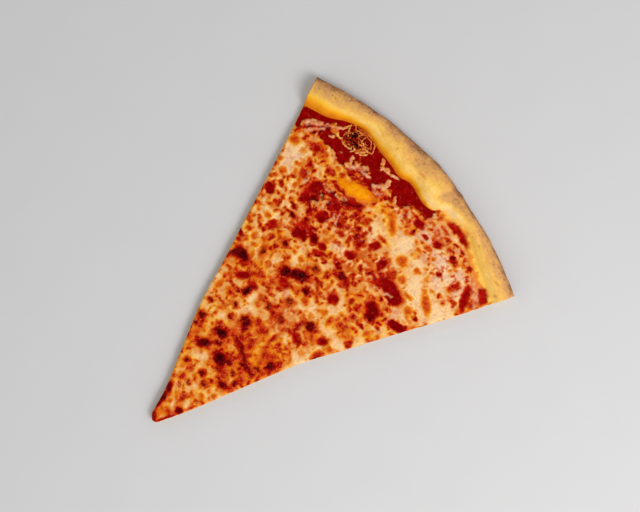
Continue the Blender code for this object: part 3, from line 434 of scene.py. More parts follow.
# The clump's larger shreds: (path, half thickness, tone)
CLUMP_SHREDS = [
    ([(-61.5, 252), (-60.5, 249), (-58.5, 247), (-57, 245)], 0.85, 0.75),
    ([(-61, 254), (-59, 255), (-57.5, 253), (-56, 251.5)], 0.7, 0.6),
    ([(-58, 256), (-56, 255), (-54, 256), (-52, 257)], 0.6, 0.48),
    ([(-56, 252.5), (-54.5, 254), (-52, 254), (-50, 255)], 0.7, 0.66),
    ([(-53, 257), (-50, 256.6), (-48, 257.2), (-45, 257), (-43, 256)], 0.6, 0.55),
    ([(-47, 255), (-44.5, 256), (-42, 254.5), (-40.5, 252.5), (-39.5, 251)], 0.55, 0.6),
    ([(-42, 256.5), (-39.5, 255.5), (-38, 253.5), (-36.6, 251.5), (-36.4, 249)], 0.7, 0.68),
    ([(-49, 256), (-48, 254), (-48.5, 252), (-47.5, 250.5)], 0.6, 0.62),
    ([(-50, 250.5), (-47, 250), (-44, 249.5), (-41.5, 250.5), (-40, 252)], 0.7, 0.56),
    ([(-52.5, 250), (-51.5, 248.5), (-51, 247), (-48, 247.5), (-45, 248)], 0.5, 0.6),
    ([(-43, 249), (-41, 248), (-38.5, 249), (-37, 250)], 0.9, 0.7),
    ([(-40, 248), (-41.5, 246), (-43.5, 243.5), (-45, 241.5)], 1.2, 0.74),
    ([(-38, 247.5), (-40, 245), (-42.5, 242.5)], 1.1, 0.66),
    ([(-43, 248), (-44.5, 245.5), (-46, 243), (-47.5, 240.5), (-48.2, 239)], 0.75, 0.7),
    ([(-50, 243.5), (-48, 243.5), (-46.5, 242)], 1.1, 0.78),
    ([(-59.5, 242), (-58, 240.2), (-56, 239.2), (-53, 239.4), (-50, 240.2), (-48.5, 241.5)], 0.85, 0.72),
    ([(-57.5, 242), (-55.5, 240.5), (-52, 240.2)], 0.6, 0.55),
    ([(-53.5, 246.5), (-53, 244.5), (-53.5, 242.5)], 0.6, 0.42),
    ([(-58.5, 246.5), (-56.5, 245), (-55, 243.5)], 0.5, 0.5),
    ([(-55, 249), (-56.5, 247.5), (-57.5, 246)], 0.5, 0.45),
    ([(-46, 252.5), (-45, 250.8), (-43, 251.5)], 0.4, 0.5),
    ([(-60.5, 246), (-60, 243.5)], 0.5, 0.5),
]  # fmt: skip
# Where it is charred black, and where the sauce shows in it: (x, y, half length, half width, turn, strength)
CLUMP_CHAR = [
    (-56, 243.6, 2.8, 1.8, 0, 0.8), (-57, 247, 2, 1.4, 0, 0.7), (-54.5, 249.5, 2.2, 3.2, 0, 1),
    (-51.5, 248.5, 1.6, 1.4, 0, 1), (-50, 245.3, 5.4, 2.5, 0, 1), (-46, 246, 2, 1.2, 20, 0.8),
]  # fmt: skip
CLUMP_HOLES = [
    (-59, 251.5, 1.2, 2, 30, 0.8), (-44.2, 252.8, 3.4, 2.4, 0, 1), (-38.8, 252.6, 1, 1.4, 0, 0.8),
]  # fmt: skip


# ---------------------------------------------------------------- numbers and maps


def smooth(low, high, value):
    """0 below low, 1 above high, and an eased step between them."""
    t = np.clip((value - low) / (high - low), 0, 1)
    return t * t * (3 - 2 * t)


def bell(value, width):
    """1 where value is 0, falling away on both sides of it."""
    return np.exp(-((value / width) ** 2))


def curve_through(points, at):
    """Heights of a smooth curve through some points, as the solids have it."""
    xs = np.array([p[0] for p in points], float)
    ys = np.array([p[1] for p in points], float)
    slopes = np.empty_like(ys)
    slopes[1:-1] = (ys[2:] - ys[:-2]) / (xs[2:] - xs[:-2])
    slopes[0] = (ys[1] - ys[0]) / (xs[1] - xs[0])
    slopes[-1] = (ys[-1] - ys[-2]) / (xs[-1] - xs[-2])
    at = np.clip(at, xs[0], xs[-1])
    i = np.clip(np.searchsorted(xs, at, side="right") - 1, 0, len(xs) - 2)
    run = xs[i + 1] - xs[i]
    t = (at - xs[i]) / run
    return (
        (1 + 2 * t) * (1 - t) ** 2 * ys[i]
        + t * (1 - t) ** 2 * run * slopes[i]
        + t * t * (3 - 2 * t) * ys[i + 1]
        - t * t * (1 - t) * run * slopes[i + 1]
    )


def degrees_at(share):
    """Degrees from the slice's middle. A share runs from -1 at the left cut to 1 at the right one."""
    return share * HALF_DEGREES


def outline(points, share):
    """An outline's millimetres at shares of the way across."""
    return curve_through(points, degrees_at(share))


def rim_edge(share, beyond=0.0):
    """Radius of the rim's inner foot, or of a line beyond it."""
    return outline(RIM_FOOT, share) + beyond


def on_slice(radius, share, inset=0.0):
    """Where radii and shares fall, about the pie's centre, between the straying cuts."""
    angle = share * HALF_ANGLE
    left = curve_through(LEFT_CUT, radius) - inset
    right = curve_through(RIGHT_CUT, radius) - inset
    stray = ((1 + share) * right - (1 - share) * left) / 2
    x = radius * np.sin(angle) + stray * np.cos(angle)
    y = radius * np.cos(angle) - stray * np.sin(angle)
    return x, y


def noise(x, y, size, seed):
    """Smooth seeded noise from about -1 to 1, with features of a size."""
    cells = 64
    table = np.random.default_rng(seed).random((cells, cells)) * 2 * np.pi
    gx, gy = x / size + 100.5, y / size + 100.5
    ix, iy = np.floor(gx).astype(int), np.floor(gy).astype(int)
    fx, fy = gx - ix, gy - iy
    ux = fx * fx * fx * (fx * (fx * 6 - 15) + 10)
    uy = fy * fy * fy * (fy * (fy * 6 - 15) + 10)

    def corner(dx, dy):
        angle = table[(ix + dx) % cells, (iy + dy) % cells]
        return np.cos(angle) * (fx - dx) + np.sin(angle) * (fy - dy)

    low = corner(0, 0) * (1 - ux) + corner(1, 0) * ux
    high = corner(0, 1) * (1 - ux) + corner(1, 1) * ux
    return 1.5 * (low * (1 - uy) + high * uy)


def layered(x, y, size, seed, layers=3, gain=0.5):
    """Noise with finer noise on it."""
    return sum(gain**k * noise(x, y, size / 2**k, seed + k) for k in range(layers))


def level(field):
    """A map shifted and scaled to a mean of 0 and a spread of 1 over the cheese."""
    return (field - field[ON_CHEESE].mean()) / field[ON_CHEESE].std()


def blur(field, radius):
    """A map softened by a radius in millimetres."""
    fy = np.fft.fftfreq(field.shape[0], CELL)[:, None]
    fx = np.fft.rfftfreq(field.shape[1], CELL)[None, :]
    kernel = np.exp(-2 * (np.pi * radius) ** 2 * (fx * fx + fy * fy))
    return np.fft.irfft2(np.fft.rfft2(field) * kernel, s=field.shape)


def window(x, y, reach):
    """The part of the maps within reach of a place."""
    columns = slice(max(int((x - reach - LEFT) / CELL), 0), int((x + reach - LEFT) / CELL) + 2)
    rows = slice(max(int((y - reach - NEAR) / CELL), 0), int((y + reach - NEAR) / CELL) + 2)
    return rows, columns


def read_map(field, x, y):
    """A map's values at places, between its cells."""
    gx = np.clip((x - LEFT) / CELL, 0, field.shape[1] - 1.001)
    gy = np.clip((y - NEAR) / CELL, 0, field.shape[0] - 1.001)
    ix, iy = gx.astype(int), gy.astype(int)
    fx, fy = gx - ix, gy - iy
    low = field[iy, ix] * (1 - fx) + field[iy, ix + 1] * fx
    high = field[iy + 1, ix] * (1 - fx) + field[iy + 1, ix + 1] * fx
    return low * (1 - fy) + high * fy


def wavering(amount, size, seed):
    """The maps' places, shifted a little so that what is drawn there gets an uneven outline."""
    return (
        X + amount * layered(X, Y, size, seed, 2),
        Y + amount * layered(X, Y, size, seed + 50, 2),
    )


# ---------------------------------------------------------------- ovals and paths


def cover(oval, x, y, inside, outside):
    """How strongly an oval covers places: fully up to inside, not at all beyond outside.

    Both are shares of the way from its middle to its outline."""
    middle_x, middle_y, half_length, half_width, turn, strength = oval
    c, s = math.cos(math.radians(turn)), math.sin(math.radians(turn))
    dx, dy = x - middle_x, y - middle_y
    d = np.hypot((dx * c + dy * s) / half_length, (dy * c - dx * s) / half_width)
    return strength * (1 - smooth(inside, outside, d))


def spread(places, at):
    """How strongly soft ovals cover any places."""
    out = np.zeros_like(at[0])
    for oval in places:
        out = np.maximum(out, cover(oval, *at, 0.4, 1.4))
    return out


def oval_parts(places, at, inside, outside):
    """For each oval, its part of the maps and how strongly it covers the places there."""
    beyond_edges = 2.2  # further out than any soft edge, as a share of the way to the outline
    for oval in places:
        part = window(oval[0], oval[1], beyond_edges * max(oval[2], oval[3]) + 1)
        yield part, cover(oval, at[0][part], at[1][part], inside, outside)


def ovals(places, at, inside, outside):
    """A map of soft-edged ovals, the strongest where they lie over each other."""
    out = np.zeros_like(X)
    for part, covered in oval_parts(places, at, inside, outside):
        out[part] = np.maximum(out[part], covered)
    return out


def merged(places, at, inside, outside):
    """As ovals, but where soft edges meet they add up."""
    left = np.ones_like(X)
    for part, covered in oval_parts(places, at, inside, outside):
        left[part] *= 1 - covered
    return 1 - left


def path_part(path, half_width, at, reach):
    """The part of the maps within reach of a path, and how many half widths its places are away."""
    x = sum(p[0] for p in path) / len(path)
    y = sum(p[1] for p in path) / len(path)
    part = window(x, y, max(math.hypot(px - x, py - y) for px, py in path) + reach)
    wx, wy = at[0][part], at[1][part]
    best = np.full(wx.shape, 1e9)
    for (x0, y0), (x1, y1) in zip(path, path[1:]):
        dx, dy = x1 - x0, y1 - y0
        t = np.clip(((wx - x0) * dx + (wy - y0) * dy) / (dx * dx + dy * dy), 0, 1)
        best = np.minimum(best, np.hypot(wx - x0 - t * dx, wy - y0 - t * dy))
    return part, best / half_width


def random_place(rng, reach, nearest):
    """A place on the slice, anywhere out to reach alike. nearest keeps it off the very tip."""
    radius = reach * math.sqrt(rng.uniform(nearest, 1))
    bearing = math.radians(rng.uniform(-23, 23))
    return radius * math.sin(bearing), radius * math.cos(bearing)


def scattered_strands(rng, count, length, bend):
    """Short curved paths strewn over the slice. length is a range, bend the most that one turns."""
    strands = []
    for _ in range(count):
        x, y = random_place(rng, CHEESE_REACH, 0.0001)
        size = rng.uniform(*length)
        angle = rng.uniform(0, 2 * math.pi)
        turn = rng.uniform(-bend, bend) / 4
        path = []
        for _ in range(5):
            path.append((x, y))
            x += math.cos(angle) * size / 4
            y += math.sin(angle) * size / 4
            angle += turn
        strands.append(path)
    return strands


def scattered_spots(rng, tries, size, strength, gap, density, taken):
    """Spots strewn over the slice, clear of the taken ones and of each other.

    size and strength are ranges, density the chance from 0 to 1 at each place."""
    made = []
    for _ in range(tries):
        x, y = random_place(rng, CHEESE_REACH - 8, 0.0003)
        half = size[0] + (size[1] - size[0]) * rng.random() ** 1.5
        power, turn, aspect = rng.uniform(*strength), rng.uniform(0, 180), rng.uniform(0.55, 1)
        if rng.random() > read_map(density, np.array(x), np.array(y)):
            continue
        if any((x - q[0]) ** 2 + (y - q[1]) ** 2 < (gap * (half + q[2])) ** 2 for q in taken):
            continue
        taken.append((x, y, half * (1 + aspect) / 2))
        made.append((x, y, half, half * aspect, turn, power))
    return made


# ---------------------------------------------------------------- the cheese's maps


def melted_threads(rng, at):
    """Melted shreds: faint ridges everywhere, and pale threads where the cheese is thin."""
    threads = np.zeros_like(X)
    for path in scattered_strands(rng, 1000, (4, 9), 4.2):
        width = rng.uniform(0.75, 1.3)
        part, d = path_part(path, width, at, 2.5 * width)
        threads[part] = np.maximum(threads[part], rng.uniform(0.6, 1) * (1 - smooth(0.4, 1.5, d)))
    return threads


def loose_shreds(at):
    """The shreds lying over the bare sauce: how strongly each shows, and how high it lies."""
    shown, lift = np.zeros_like(X), np.zeros_like(X)
    for path, width in LOOSE_SHREDS:
        part, d = path_part(path, width, at, 2.5 * width + 2)
        shown[part] = np.maximum(shown[part], (1 - smooth(0.5, 1.35, d)) * min(1, width / 1.25))
        lift[part] = np.maximum(lift[part], np.sqrt(np.clip(1 - (d / 1.3) ** 2, 0, 1)) * width)
    return shown, lift


class Look:
    """The cheese's tone and hue, as maps that are worked on step by step."""

    usual = 0.7  # the tone about which it goes up and down

    def __init__(self, tone, hue):
        self.tone = tone
        self.hue = hue

    def press(self, mask, tone, keep=0.0, hue=None):
        """Brings the tone, and the hue too, to a value where the mask says.

        keep is how much of the tone's own ups and downs stays."""
        self.tone = self.tone + mask * (tone + keep * (self.tone - self.usual) - self.tone)
        if hue is not None:
            self.hue = self.hue + mask * (hue - self.hue)


def work_in_places(look, even, rough, clots, grain, milky):
    """Works the listed places into the look, one kind over another.

    Gives maps of where it is burnt, where sauce shows through and where that lies in pools."""
    look.press(0.6 * ovals(TOAST_SPOTS, even, 0.8, 1.9), 0.8, 0.4, hue=0.9)
    look.press(ovals(TOAST_SPOTS, even, 0.5, 1.4), 0.54, 0.3, hue=1.1)
    look.press(0.95 * ovals(TOAST_SPOTS, rough, 0.1, 1.2), 0.39, 0.2, hue=0.8)
    look.press(0.8 * (1 - 0.5 * milky) * merged(SAUCE_PATCHES, rough, 0.7, 1.8), 0.44, 0.5)
    patch = merged(SAUCE_PATCHES, rough, 0.5, 1.3)
    look.press(patch, 0.2, 0.1)
    look.tone += patch * (0.05 * clots + 0.05 * grain)
    look.press(0.85 * ovals(CREAM_SPOTS, rough, 0.4, 1.4), 0.9, 0.3, hue=-0.2)
    pool = merged(RED_POOLS, wavering(0.9, 3.6, 61), 0.65, 1.2)
    look.press(pool, 0.27 + 0.02 * clots, 0.04)
    look.press(0.9 * merged(DEEP_PATCHES, rough, 0.6, 1.3), 0.13, 0.12)
    look.tone += 0.35 * smooth(140, 190, REACH) * (look.tone - blur(look.tone, 1.4))
    look.press(0.85 * ovals(BLISTERS, rough, 0.8, 2.0), 0.36, 0.5)
    look.press(ovals(BLISTERS, rough, 0.6, 1.45), 0.17, 0.15)
    burn = ovals(BLISTERS, rough, 0.3, 1.2) * np.clip(0.92 + 0.2 * grain + 0.1 * clots, 0, 1.3)
    for path, width in CREASES:
        part, d = path_part(path, width, rough, 4 * width)
        burnt = 0.5 * smooth(0.8, 1.2, width) * (1 - smooth(0.2, 1.3, d))
        burn[part] = np.maximum(burn[part], burnt)
        look.tone[part] += 0.85 * (1 - smooth(0.8, 2.4, d)) * (0.22 - look.tone[part])
    look.press(ovals(CUT_STAINS, even, 0.5, 1.4), 0.17, 0.2)
    return burn, patch, pool


def cheese_maps():
    """What the cheese looks like and how high it lies, as maps by name.

    tone runs from nearly black at 0 through red and orange to cream at 1; hue from pinkish at -1 to
    yellow and oily at 1; burn, bubble, shred, pool, dough and skin are shares of those looks; rise is
    the height over the sauce in millimetres."""
    rng = np.random.default_rng(7)
    even = wavering(1.0, 3.2, 11)
    rough = wavering(1.4, 4.4, 21)
    fine = wavering(0.35, 1.4, 31)
    wide = wavering(2.5, 9, 41)
    mottle = level(layered(X, Y, 6, 70, 3))
    clots = level(layered(X, Y, 4.2, 75, 2))
    grain = level(layered(X, Y, 1.8, 90, 2))
    patchy = level(layered(X, Y, 15, 60, 2))
    pale = ovals(PALE_ZONES, wide, 0.5, 1.3)
    toasted = ovals(TOASTED_ZONES, wide, 0.3, 1.4)
    thin = ovals(THIN_ZONES, wide, 0.5, 1.3)
    milky = ovals(MILKY_ZONES, wide, 0.5, 1.4)
    tip = 1 - smooth(95, 125, REACH)
    oily = np.maximum(ovals(OIL_ZONES, wide, 0.3, 1.5), 0.35 * tip * (1 - pale))
    bubble = ovals(BUBBLES, rough, 0.4, 1.35) * np.clip(0.9 + 0.08 * clots + 0.05 * grain, 0, 1)
    threads = melted_threads(rng, fine)

    # toasted spots, of three sizes, strewn between the listed places
    placed = BLISTERS + SAUCE_PATCHES + TOAST_SPOTS
    taken = [(p[0], p[1], (p[2] + p[3]) / 2) for p in placed]
    often = 0.85 + 0.4 * patchy - 1.1 * pale - 0.2 * thin + 0.4 * toasted - 0.35 * milky
    often = np.clip(often - 1.5 * bubble, 0, 1)
    large = scattered_spots(rng, 2500, (2.2, 4.4), (0.55, 0.85), 0.8, often, taken)
    medium = scattered_spots(rng, 4000, (1.3, 2.2), (0.35, 0.8), 0.85, often, taken)
    small = scattered_spots(rng, 1500, (0.6, 1.1), (0.15, 0.55), 2.0, 0.3 + 0.7 * often, [])
    brown = merged(large + medium, rough, 0.0, 1.6) + 0.07 * clots + 0.035 * grain + 0.05 * mottle
    brown = smooth(0.0, 0.98, brown + 0.07 * patchy * (1 - pale) - 0.12 * pale)
    brown = 1 - (1 - brown) * (1 - merged(small, fine, 0.2, 1.4))
    halo = merged(large + medium, rough, 0.7, 1.9)

    # the cheese between them
    base = 0.88 + 0.045 * mottle + 0.03 * grain + 0.07 * pale - 0.03 * patchy
    base -= 0.12 * halo * (1 - 0.6 * pale) * (1 - 0.5 * milky)
    base -= toasted * (0.24 + 0.05 * mottle)
    base += milky * (0.01 - 0.4 * (1 - threads) * smooth(0.0, 1.5, 0.7 * clots + 0.7 * grain))
    base -= thin * (1 - threads) * np.clip(0.58 + 0.1 * mottle + 0.08 * grain, 0.1, 0.8)
    tone = base * (1 - 0.84 * brown * (1 - 0.35 * pale)) + brown * (0.06 * grain + 0.03 * clots)
    hue = -0.1 + 0.3 * mottle + 0.95 * halo - 0.1 * pale + 0.1 * grain - milky * (0.75 - 0.4 * brown)
    hue += 0.3 * toasted
    look = Look(tone, hue * (1 - thin) - thin * (0.3 + 0.4 * threads))

    look.press(0.8 * oily, 0.63, 0.85, hue=1.3)
    burn, patch, pool = work_in_places(look, even, rough, clots, grain, milky)

    # towards the rim: bare sauce, the shreds on it, and dough
    from_rim = curve_through(RIM_FOOT, BEARING) - REACH + 0.8 * mottle
    shred, shred_lift = loose_shreds(even)
    shred *= np.clip(0.78 + 0.22 * clots + 0.14 * grain, 0, 1)
    band = curve_through(DOUGH_BAND, BEARING)
    dough = (1 - smooth(-1.4, 1.2, from_rim - band)) * smooth(0.2, 1.5, band)
    near_bare = ovals(BARE_SAUCE, even, 0.95, 1.4)
    look.tone -= 0.08 * near_bare
    beside_rim = (1 - smooth(4, 5.5, from_rim)) * (1 - smooth(SAUCE_ENDS - 1, SAUCE_ENDS, BEARING))
    bare = np.maximum(ovals(BARE_SAUCE, even, 0.9, 1.1), beside_rim)

    # the height over the sauce
    rise = 1.7 + 0.12 * mottle + 0.09 * grain * (1 - bubble) + 0.25 * pale
    rise += 0.5 * threads * (0.4 + 0.6 * thin) - 0.5 * thin - 0.6 * near_bare
    rise += 0.5 * merged(large, rough, 0.5, 1.2) + 0.3 * merged(medium, rough, 0.5, 1.2)
    rise += 1.2 * burn * (1 + 0.25 * layered(X, Y, 2.2, 140, 2))
    rise += 1.9 * blur(bubble, 1.5)
    patch = np.maximum(patch, pool)
    rise = rise * (1 - 0.8 * patch) + 0.2 * patch
    rise = rise * (1 - bare) - 0.9 * bare
    shred_top = -0.45 + 0.85 * shred_lift * smooth(0, 0.5, shred)
    rise = np.where(shred > 0.02, np.maximum(rise, shred_top), rise)
    return {
        "tone": np.clip(look.tone, 0, 1),
        "hue": np.clip(look.hue, -1, 1.3),
        "burn": burn,
        "bubble": bubble,
        "shred": shred,
        "pool": np.maximum(pool, 0.5 * patch),
        "dough": dough * (1 - bare) * (1 - patch),
        "skin": 1 - smooth(-2.5, 2.5, from_rim),
        "rise": rise,
    }


# ---------------------------------------------------------------- mesh making


def recalculate_normals(mesh):
    """Turns every face outwards."""
    bm = bmesh.new()
    bm.from_mesh(mesh)
    bmesh.ops.recalc_face_normals(bm, faces=bm.faces)
    bm.to_mesh(mesh)
    bm.free()


class Shell:
    """Vertices and faces of one piece. A vertex is a place on the slice, a height and named values."""

    def __init__(self):
        self.blocks = []
        self.count = 0
        self.faces = []

    def add(self, x, y, z, **values):
        """Adds vertices, and gives their numbers."""
        x, y, z = np.broadcast_arrays(x, y, z)
        block = {"x": x.ravel(), "y": y.ravel(), "z": z.ravel()}
        for name, value in values.items():
            block[name] = np.broadcast_to(value, x.shape).ravel()
        self.blocks.append(block)
        numbers = np.arange(self.count, self.count + x.size).reshape(x.shape)
        self.count += x.size
        return numbers

    def grid(self, rows):
        """Quads over rows of numbers."""
        numbers = np.array(rows)
        a, b = numbers[:-1, :-1], numbers[:-1, 1:]
        c, d = numbers[1:, 1:], numbers[1:, :-1]
        self.faces.extend(np.stack([q.ravel() for q in (a, b, c, d)], -1).tolist())

    def band(self, first, second):
        """Quads between two closed loops of numbers."""
        self.grid([np.append(first, first[0]), np.append(second, second[0])])

    def cap(self, loop):
        """One face over a closed loop of numbers."""
        self.faces.append(loop.tolist())

    def rings(self, rings):
        """Faces between rings of numbers, each with as many columns as the last or twice as many."""
        for inner, outer in zip(rings, rings[1:]):
            if len(inner) == len(outer):
                self.grid([inner, outer])
                continue
            corners = [inner[:-1], inner[1:], outer[2::2], outer[1::2], outer[:-2:2]]
            self.faces.extend(np.stack(corners, -1).tolist())

    def values(self, name):
        """A named value of every vertex, 0 where it was not given."""
        return np.concatenate([b.get(name, np.zeros_like(b["x"])) for b in self.blocks])

    def places(self, numbers):
        """x, y and z of some vertices."""
        return [self.values(key)[numbers] for key in "xyz"]

    def make(self, name, material, body="root"):
        """The piece as an object, riding on its body, with its named values as attributes."""
        co = np.stack([self.values("x") + CENTRE_X, self.values("y") + CENTRE_Y, self.values("z")], -1)
        mesh = bpy.data.meshes.new(name)
        mesh.from_pydata((co * MM).tolist(), [], self.faces)
        recalculate_normals(mesh)
        names = sorted(set(key for b in self.blocks for key in b) - {"x", "y", "z"})
        for key in names:
            attribute = mesh.attributes.new(key, "FLOAT", "POINT")
            attribute.data.foreach_set("value", self.values(key).astype(np.float32))
        mesh.shade_smooth()
        mesh.update()
        mesh.materials.append(material)
        piece = bpy.data.objects.new(name, mesh)
        bpy.context.scene.collection.objects.link(piece)
        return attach(piece, body)


def ring_columns(radius, far, most, least):
    """How many columns a ring has: halved each time that the radius halves."""
    columns = most
    while columns > least and radius < far * columns / (2 * most):
        columns //= 2
    return columns


def slice_rings(start, edge, spacing, most, least):
    """Radii and shares of rings from the tip to edge(share), as evenly spaced as they go."""
    far = float(np.max(edge(np.linspace(-1, 1, 50))))
    steps = int((far - start) / spacing)
    rings = []
    for i in range(steps + 1):
        distance = i / steps
        columns = ring_columns(start + (far - start) * distance, far, most, least)
        share = np.linspace(-1, 1, columns + 1)
        begin = start + TIP_ROUNDING * share**2
        rings.append((begin + (edge(share) - begin) * distance, share))
    return rings


def uneven_edge(radius, share, inset, ends):
    """Places of a ring whose ends stop short of the cuts by an inset, and further beyond the rim's foot.

    ends is the range of millimetres from the foot in which that sets in."""
    under_rim = 2.2
    inset = inset + under_rim * smooth(*ends, radius - rim_edge(share))
    return on_slice(radius, share, np.abs(share) ** 8 * inset)


def boundary(rings):
    """The numbers round the outside of some rings: up the left cut, across, and down the right one."""
    left = [ring[0] for ring in rings]
    right = [ring[-1] for ring in rings]
    return left + list(rings[-1][1:-1]) + right[::-1] + list(rings[0][1:-1][::-1])


def close_below(shell, rings, levels):
    """A wall down from the rings' outside and a flat face under it. levels are (height, inset)."""
    loop = np.array(boundary(rings))
    x, y, z = shell.places(loop)
    others = {key: shell.values(key)[loop] for key in shell.blocks[0] if key not in ("x", "y", "z")}
    others["wall"] = np.ones(len(loop))
    middle_y = 150.0
    length = np.hypot(x, y - middle_y)
    for height, inset in levels:
        t = 1 - inset / length
        z = np.minimum(height, z - 0.1)
        lower = shell.add(x * t, middle_y + (y - middle_y) * t, z, **others)
        shell.band(lower, loop)
        loop = lower
    shell.cap(loop)


def cut_distance(radius, share):
    """Millimetres from the nearer cut."""
    return (1 - np.abs(share)) * radius * HALF_ANGLE


# ---------------------------------------------------------------- materials


def srgb(r, g, b):
    """A colour as seen on screen, 0 to 255, made linear."""
    c = np.array([r, g, b]) / 255
    linear = np.where(c <= 0.04045, c / 12.92, ((c + 0.055) / 1.055) ** 2.4)
    return (*[float(v) for v in linear], 1.0)


class Nodes:
    """Short ways to build one material's nodes."""

    def __init__(self, name):
        self.material = bpy.data.materials.new(name)
        self.material.use_nodes = True
        self.tree = self.material.node_tree
        self.shader = self.tree.nodes["Principled BSDF"]

    def link(self, value, socket):
        """Gives a socket a plain value, or links another node's output to it."""
        if isinstance(value, bpy.types.NodeSocket):
            self.tree.links.new(value, socket)
        else:
            socket.default_value = value

    def node(self, kind, inputs, output, **settings):
        """One of the outputs of a new node with some inputs and settings."""
        node = self.tree.nodes.new("ShaderNode" + kind)
        for name, value in settings.items():
            setattr(node, name, value)
        for name, value in inputs.items():
            self.link(value, node.inputs[name])
        return node.outputs[output]

    def attribute(self, name):
        """One of the mesh's named values."""
        return self.node("Attribute", {}, "Fac", attribute_name=name)

    def noise(self, size, detail=2.0, roughness=0.5):
        """Noise about 0 to 1 with features of a size in millimetres."""
        place = self.node("TexCoord", {}, "Object")
        place = self.node("Mapping", {"Vector": place, "Scale": [1 / (size * MM)] * 3}, "Vector")
        inputs = {"Vector": place, "Scale": 1.0, "Detail": detail, "Roughness": roughness}
        return self.node("TexNoise", inputs, "Fac")

    def math(self, operation, a, b, clamp=False):
        """One operation on two values."""
        return self.node("Math", {0: a, 1: b}, 0, operation=operation, use_clamp=clamp)

    def plus(self, a, b):
        """Two values added, within 0 and 1."""
        return self.math("ADD", a, b, clamp=True)

    def times(self, a, *others):
        """Values multiplied."""
        for b in others:
            a = self.math("MULTIPLY", a, b)
        return a

    def swing(self, noise, amount):
        """Noise brought about 0 and scaled."""
        return self.times(self.math("SUBTRACT", noise, 0.5), amount)

    def steps(self, value, low, high):
        """0 where value is under low, 1 where it is over high."""
        inputs = {"Value": value, "From Min": low, "From Max": high}
        return self.node("MapRange", inputs, "Result", interpolation_type="SMOOTHSTEP")

    def between(self, value, low, high):
        """A number from low to high as value goes from 0 to 1."""
        return self.node("MapRange", {"Value": value, "To Min": low, "To Max": high}, "Result")

    def mix(self, share, a, b):
        """Colour a going over to b as share goes from 0 to 1."""
        return self.node("Mix", {0: share, 6: a, 7: b}, 2, data_type="RGBA")

    def ramp(self, value, *stops):
        """A colour from stops of (value, red, green, blue)."""
        node = self.tree.nodes.new("ShaderNodeValToRGB")
        elements = node.color_ramp.elements
        while len(elements) < len(stops):
            elements.new(0.5)
        for element, (position, *color) in zip(elements, stops):
            element.position = position
            element.color = srgb(*color)
        self.link(value, node.inputs["Fac"])
        return node.outputs["Color"]

    def bump(self, *layers):
        """Bumps of (height value, millimetres), one on another."""
        below = {}
        for height, depth in layers:
            inputs = {"Height": height, "Strength": 1.0, "Distance": depth * MM}
            below = {"Normal": self.node("Bump", {**inputs, **below}, "Normal")}
        self.link(below["Normal"], self.shader.inputs["Normal"])

    def glints(self):
        """How shiny a wet surface is: little in most places, and much in small scattered ones."""
        return self.between(self.steps(self.noise(1.6, 1.0), 0.65, 0.72), 0.02, 0.6)

    def finish(self, color, roughness, specular):
        """The material, with its last looks linked."""
        self.link(color, self.shader.inputs["Base Color"])
        self.link(roughness, self.shader.inputs["Roughness"])
        self.link(specular, self.shader.inputs["Specular IOR Level"])
        return self.material


# Colours of the cheese by its tone: one dark end, and light ends for three hues
CHEESE_DARKS = [
    (0.0, 70, 2, 4), (0.1, 124, 0, 0), (0.2, 156, 4, 0), (0.32, 176, 34, 2), (0.45, 198, 74, 8),
]  # fmt: skip
CHEESE_LIGHTS = [(0.58, 206, 102, 26), (0.7, 218, 134, 56), (0.84, 227, 162, 94), (1.0, 239, 199, 147)]
CHEESE_OILY = [(0.58, 212, 102, 8), (0.7, 222, 130, 20), (0.84, 231, 156, 46), (1.0, 240, 188, 98)]
CHEESE_PINK = [(0.58, 197, 91, 54), (0.7, 209, 126, 88), (0.84, 220, 161, 124), (1.0, 232, 194, 157)]


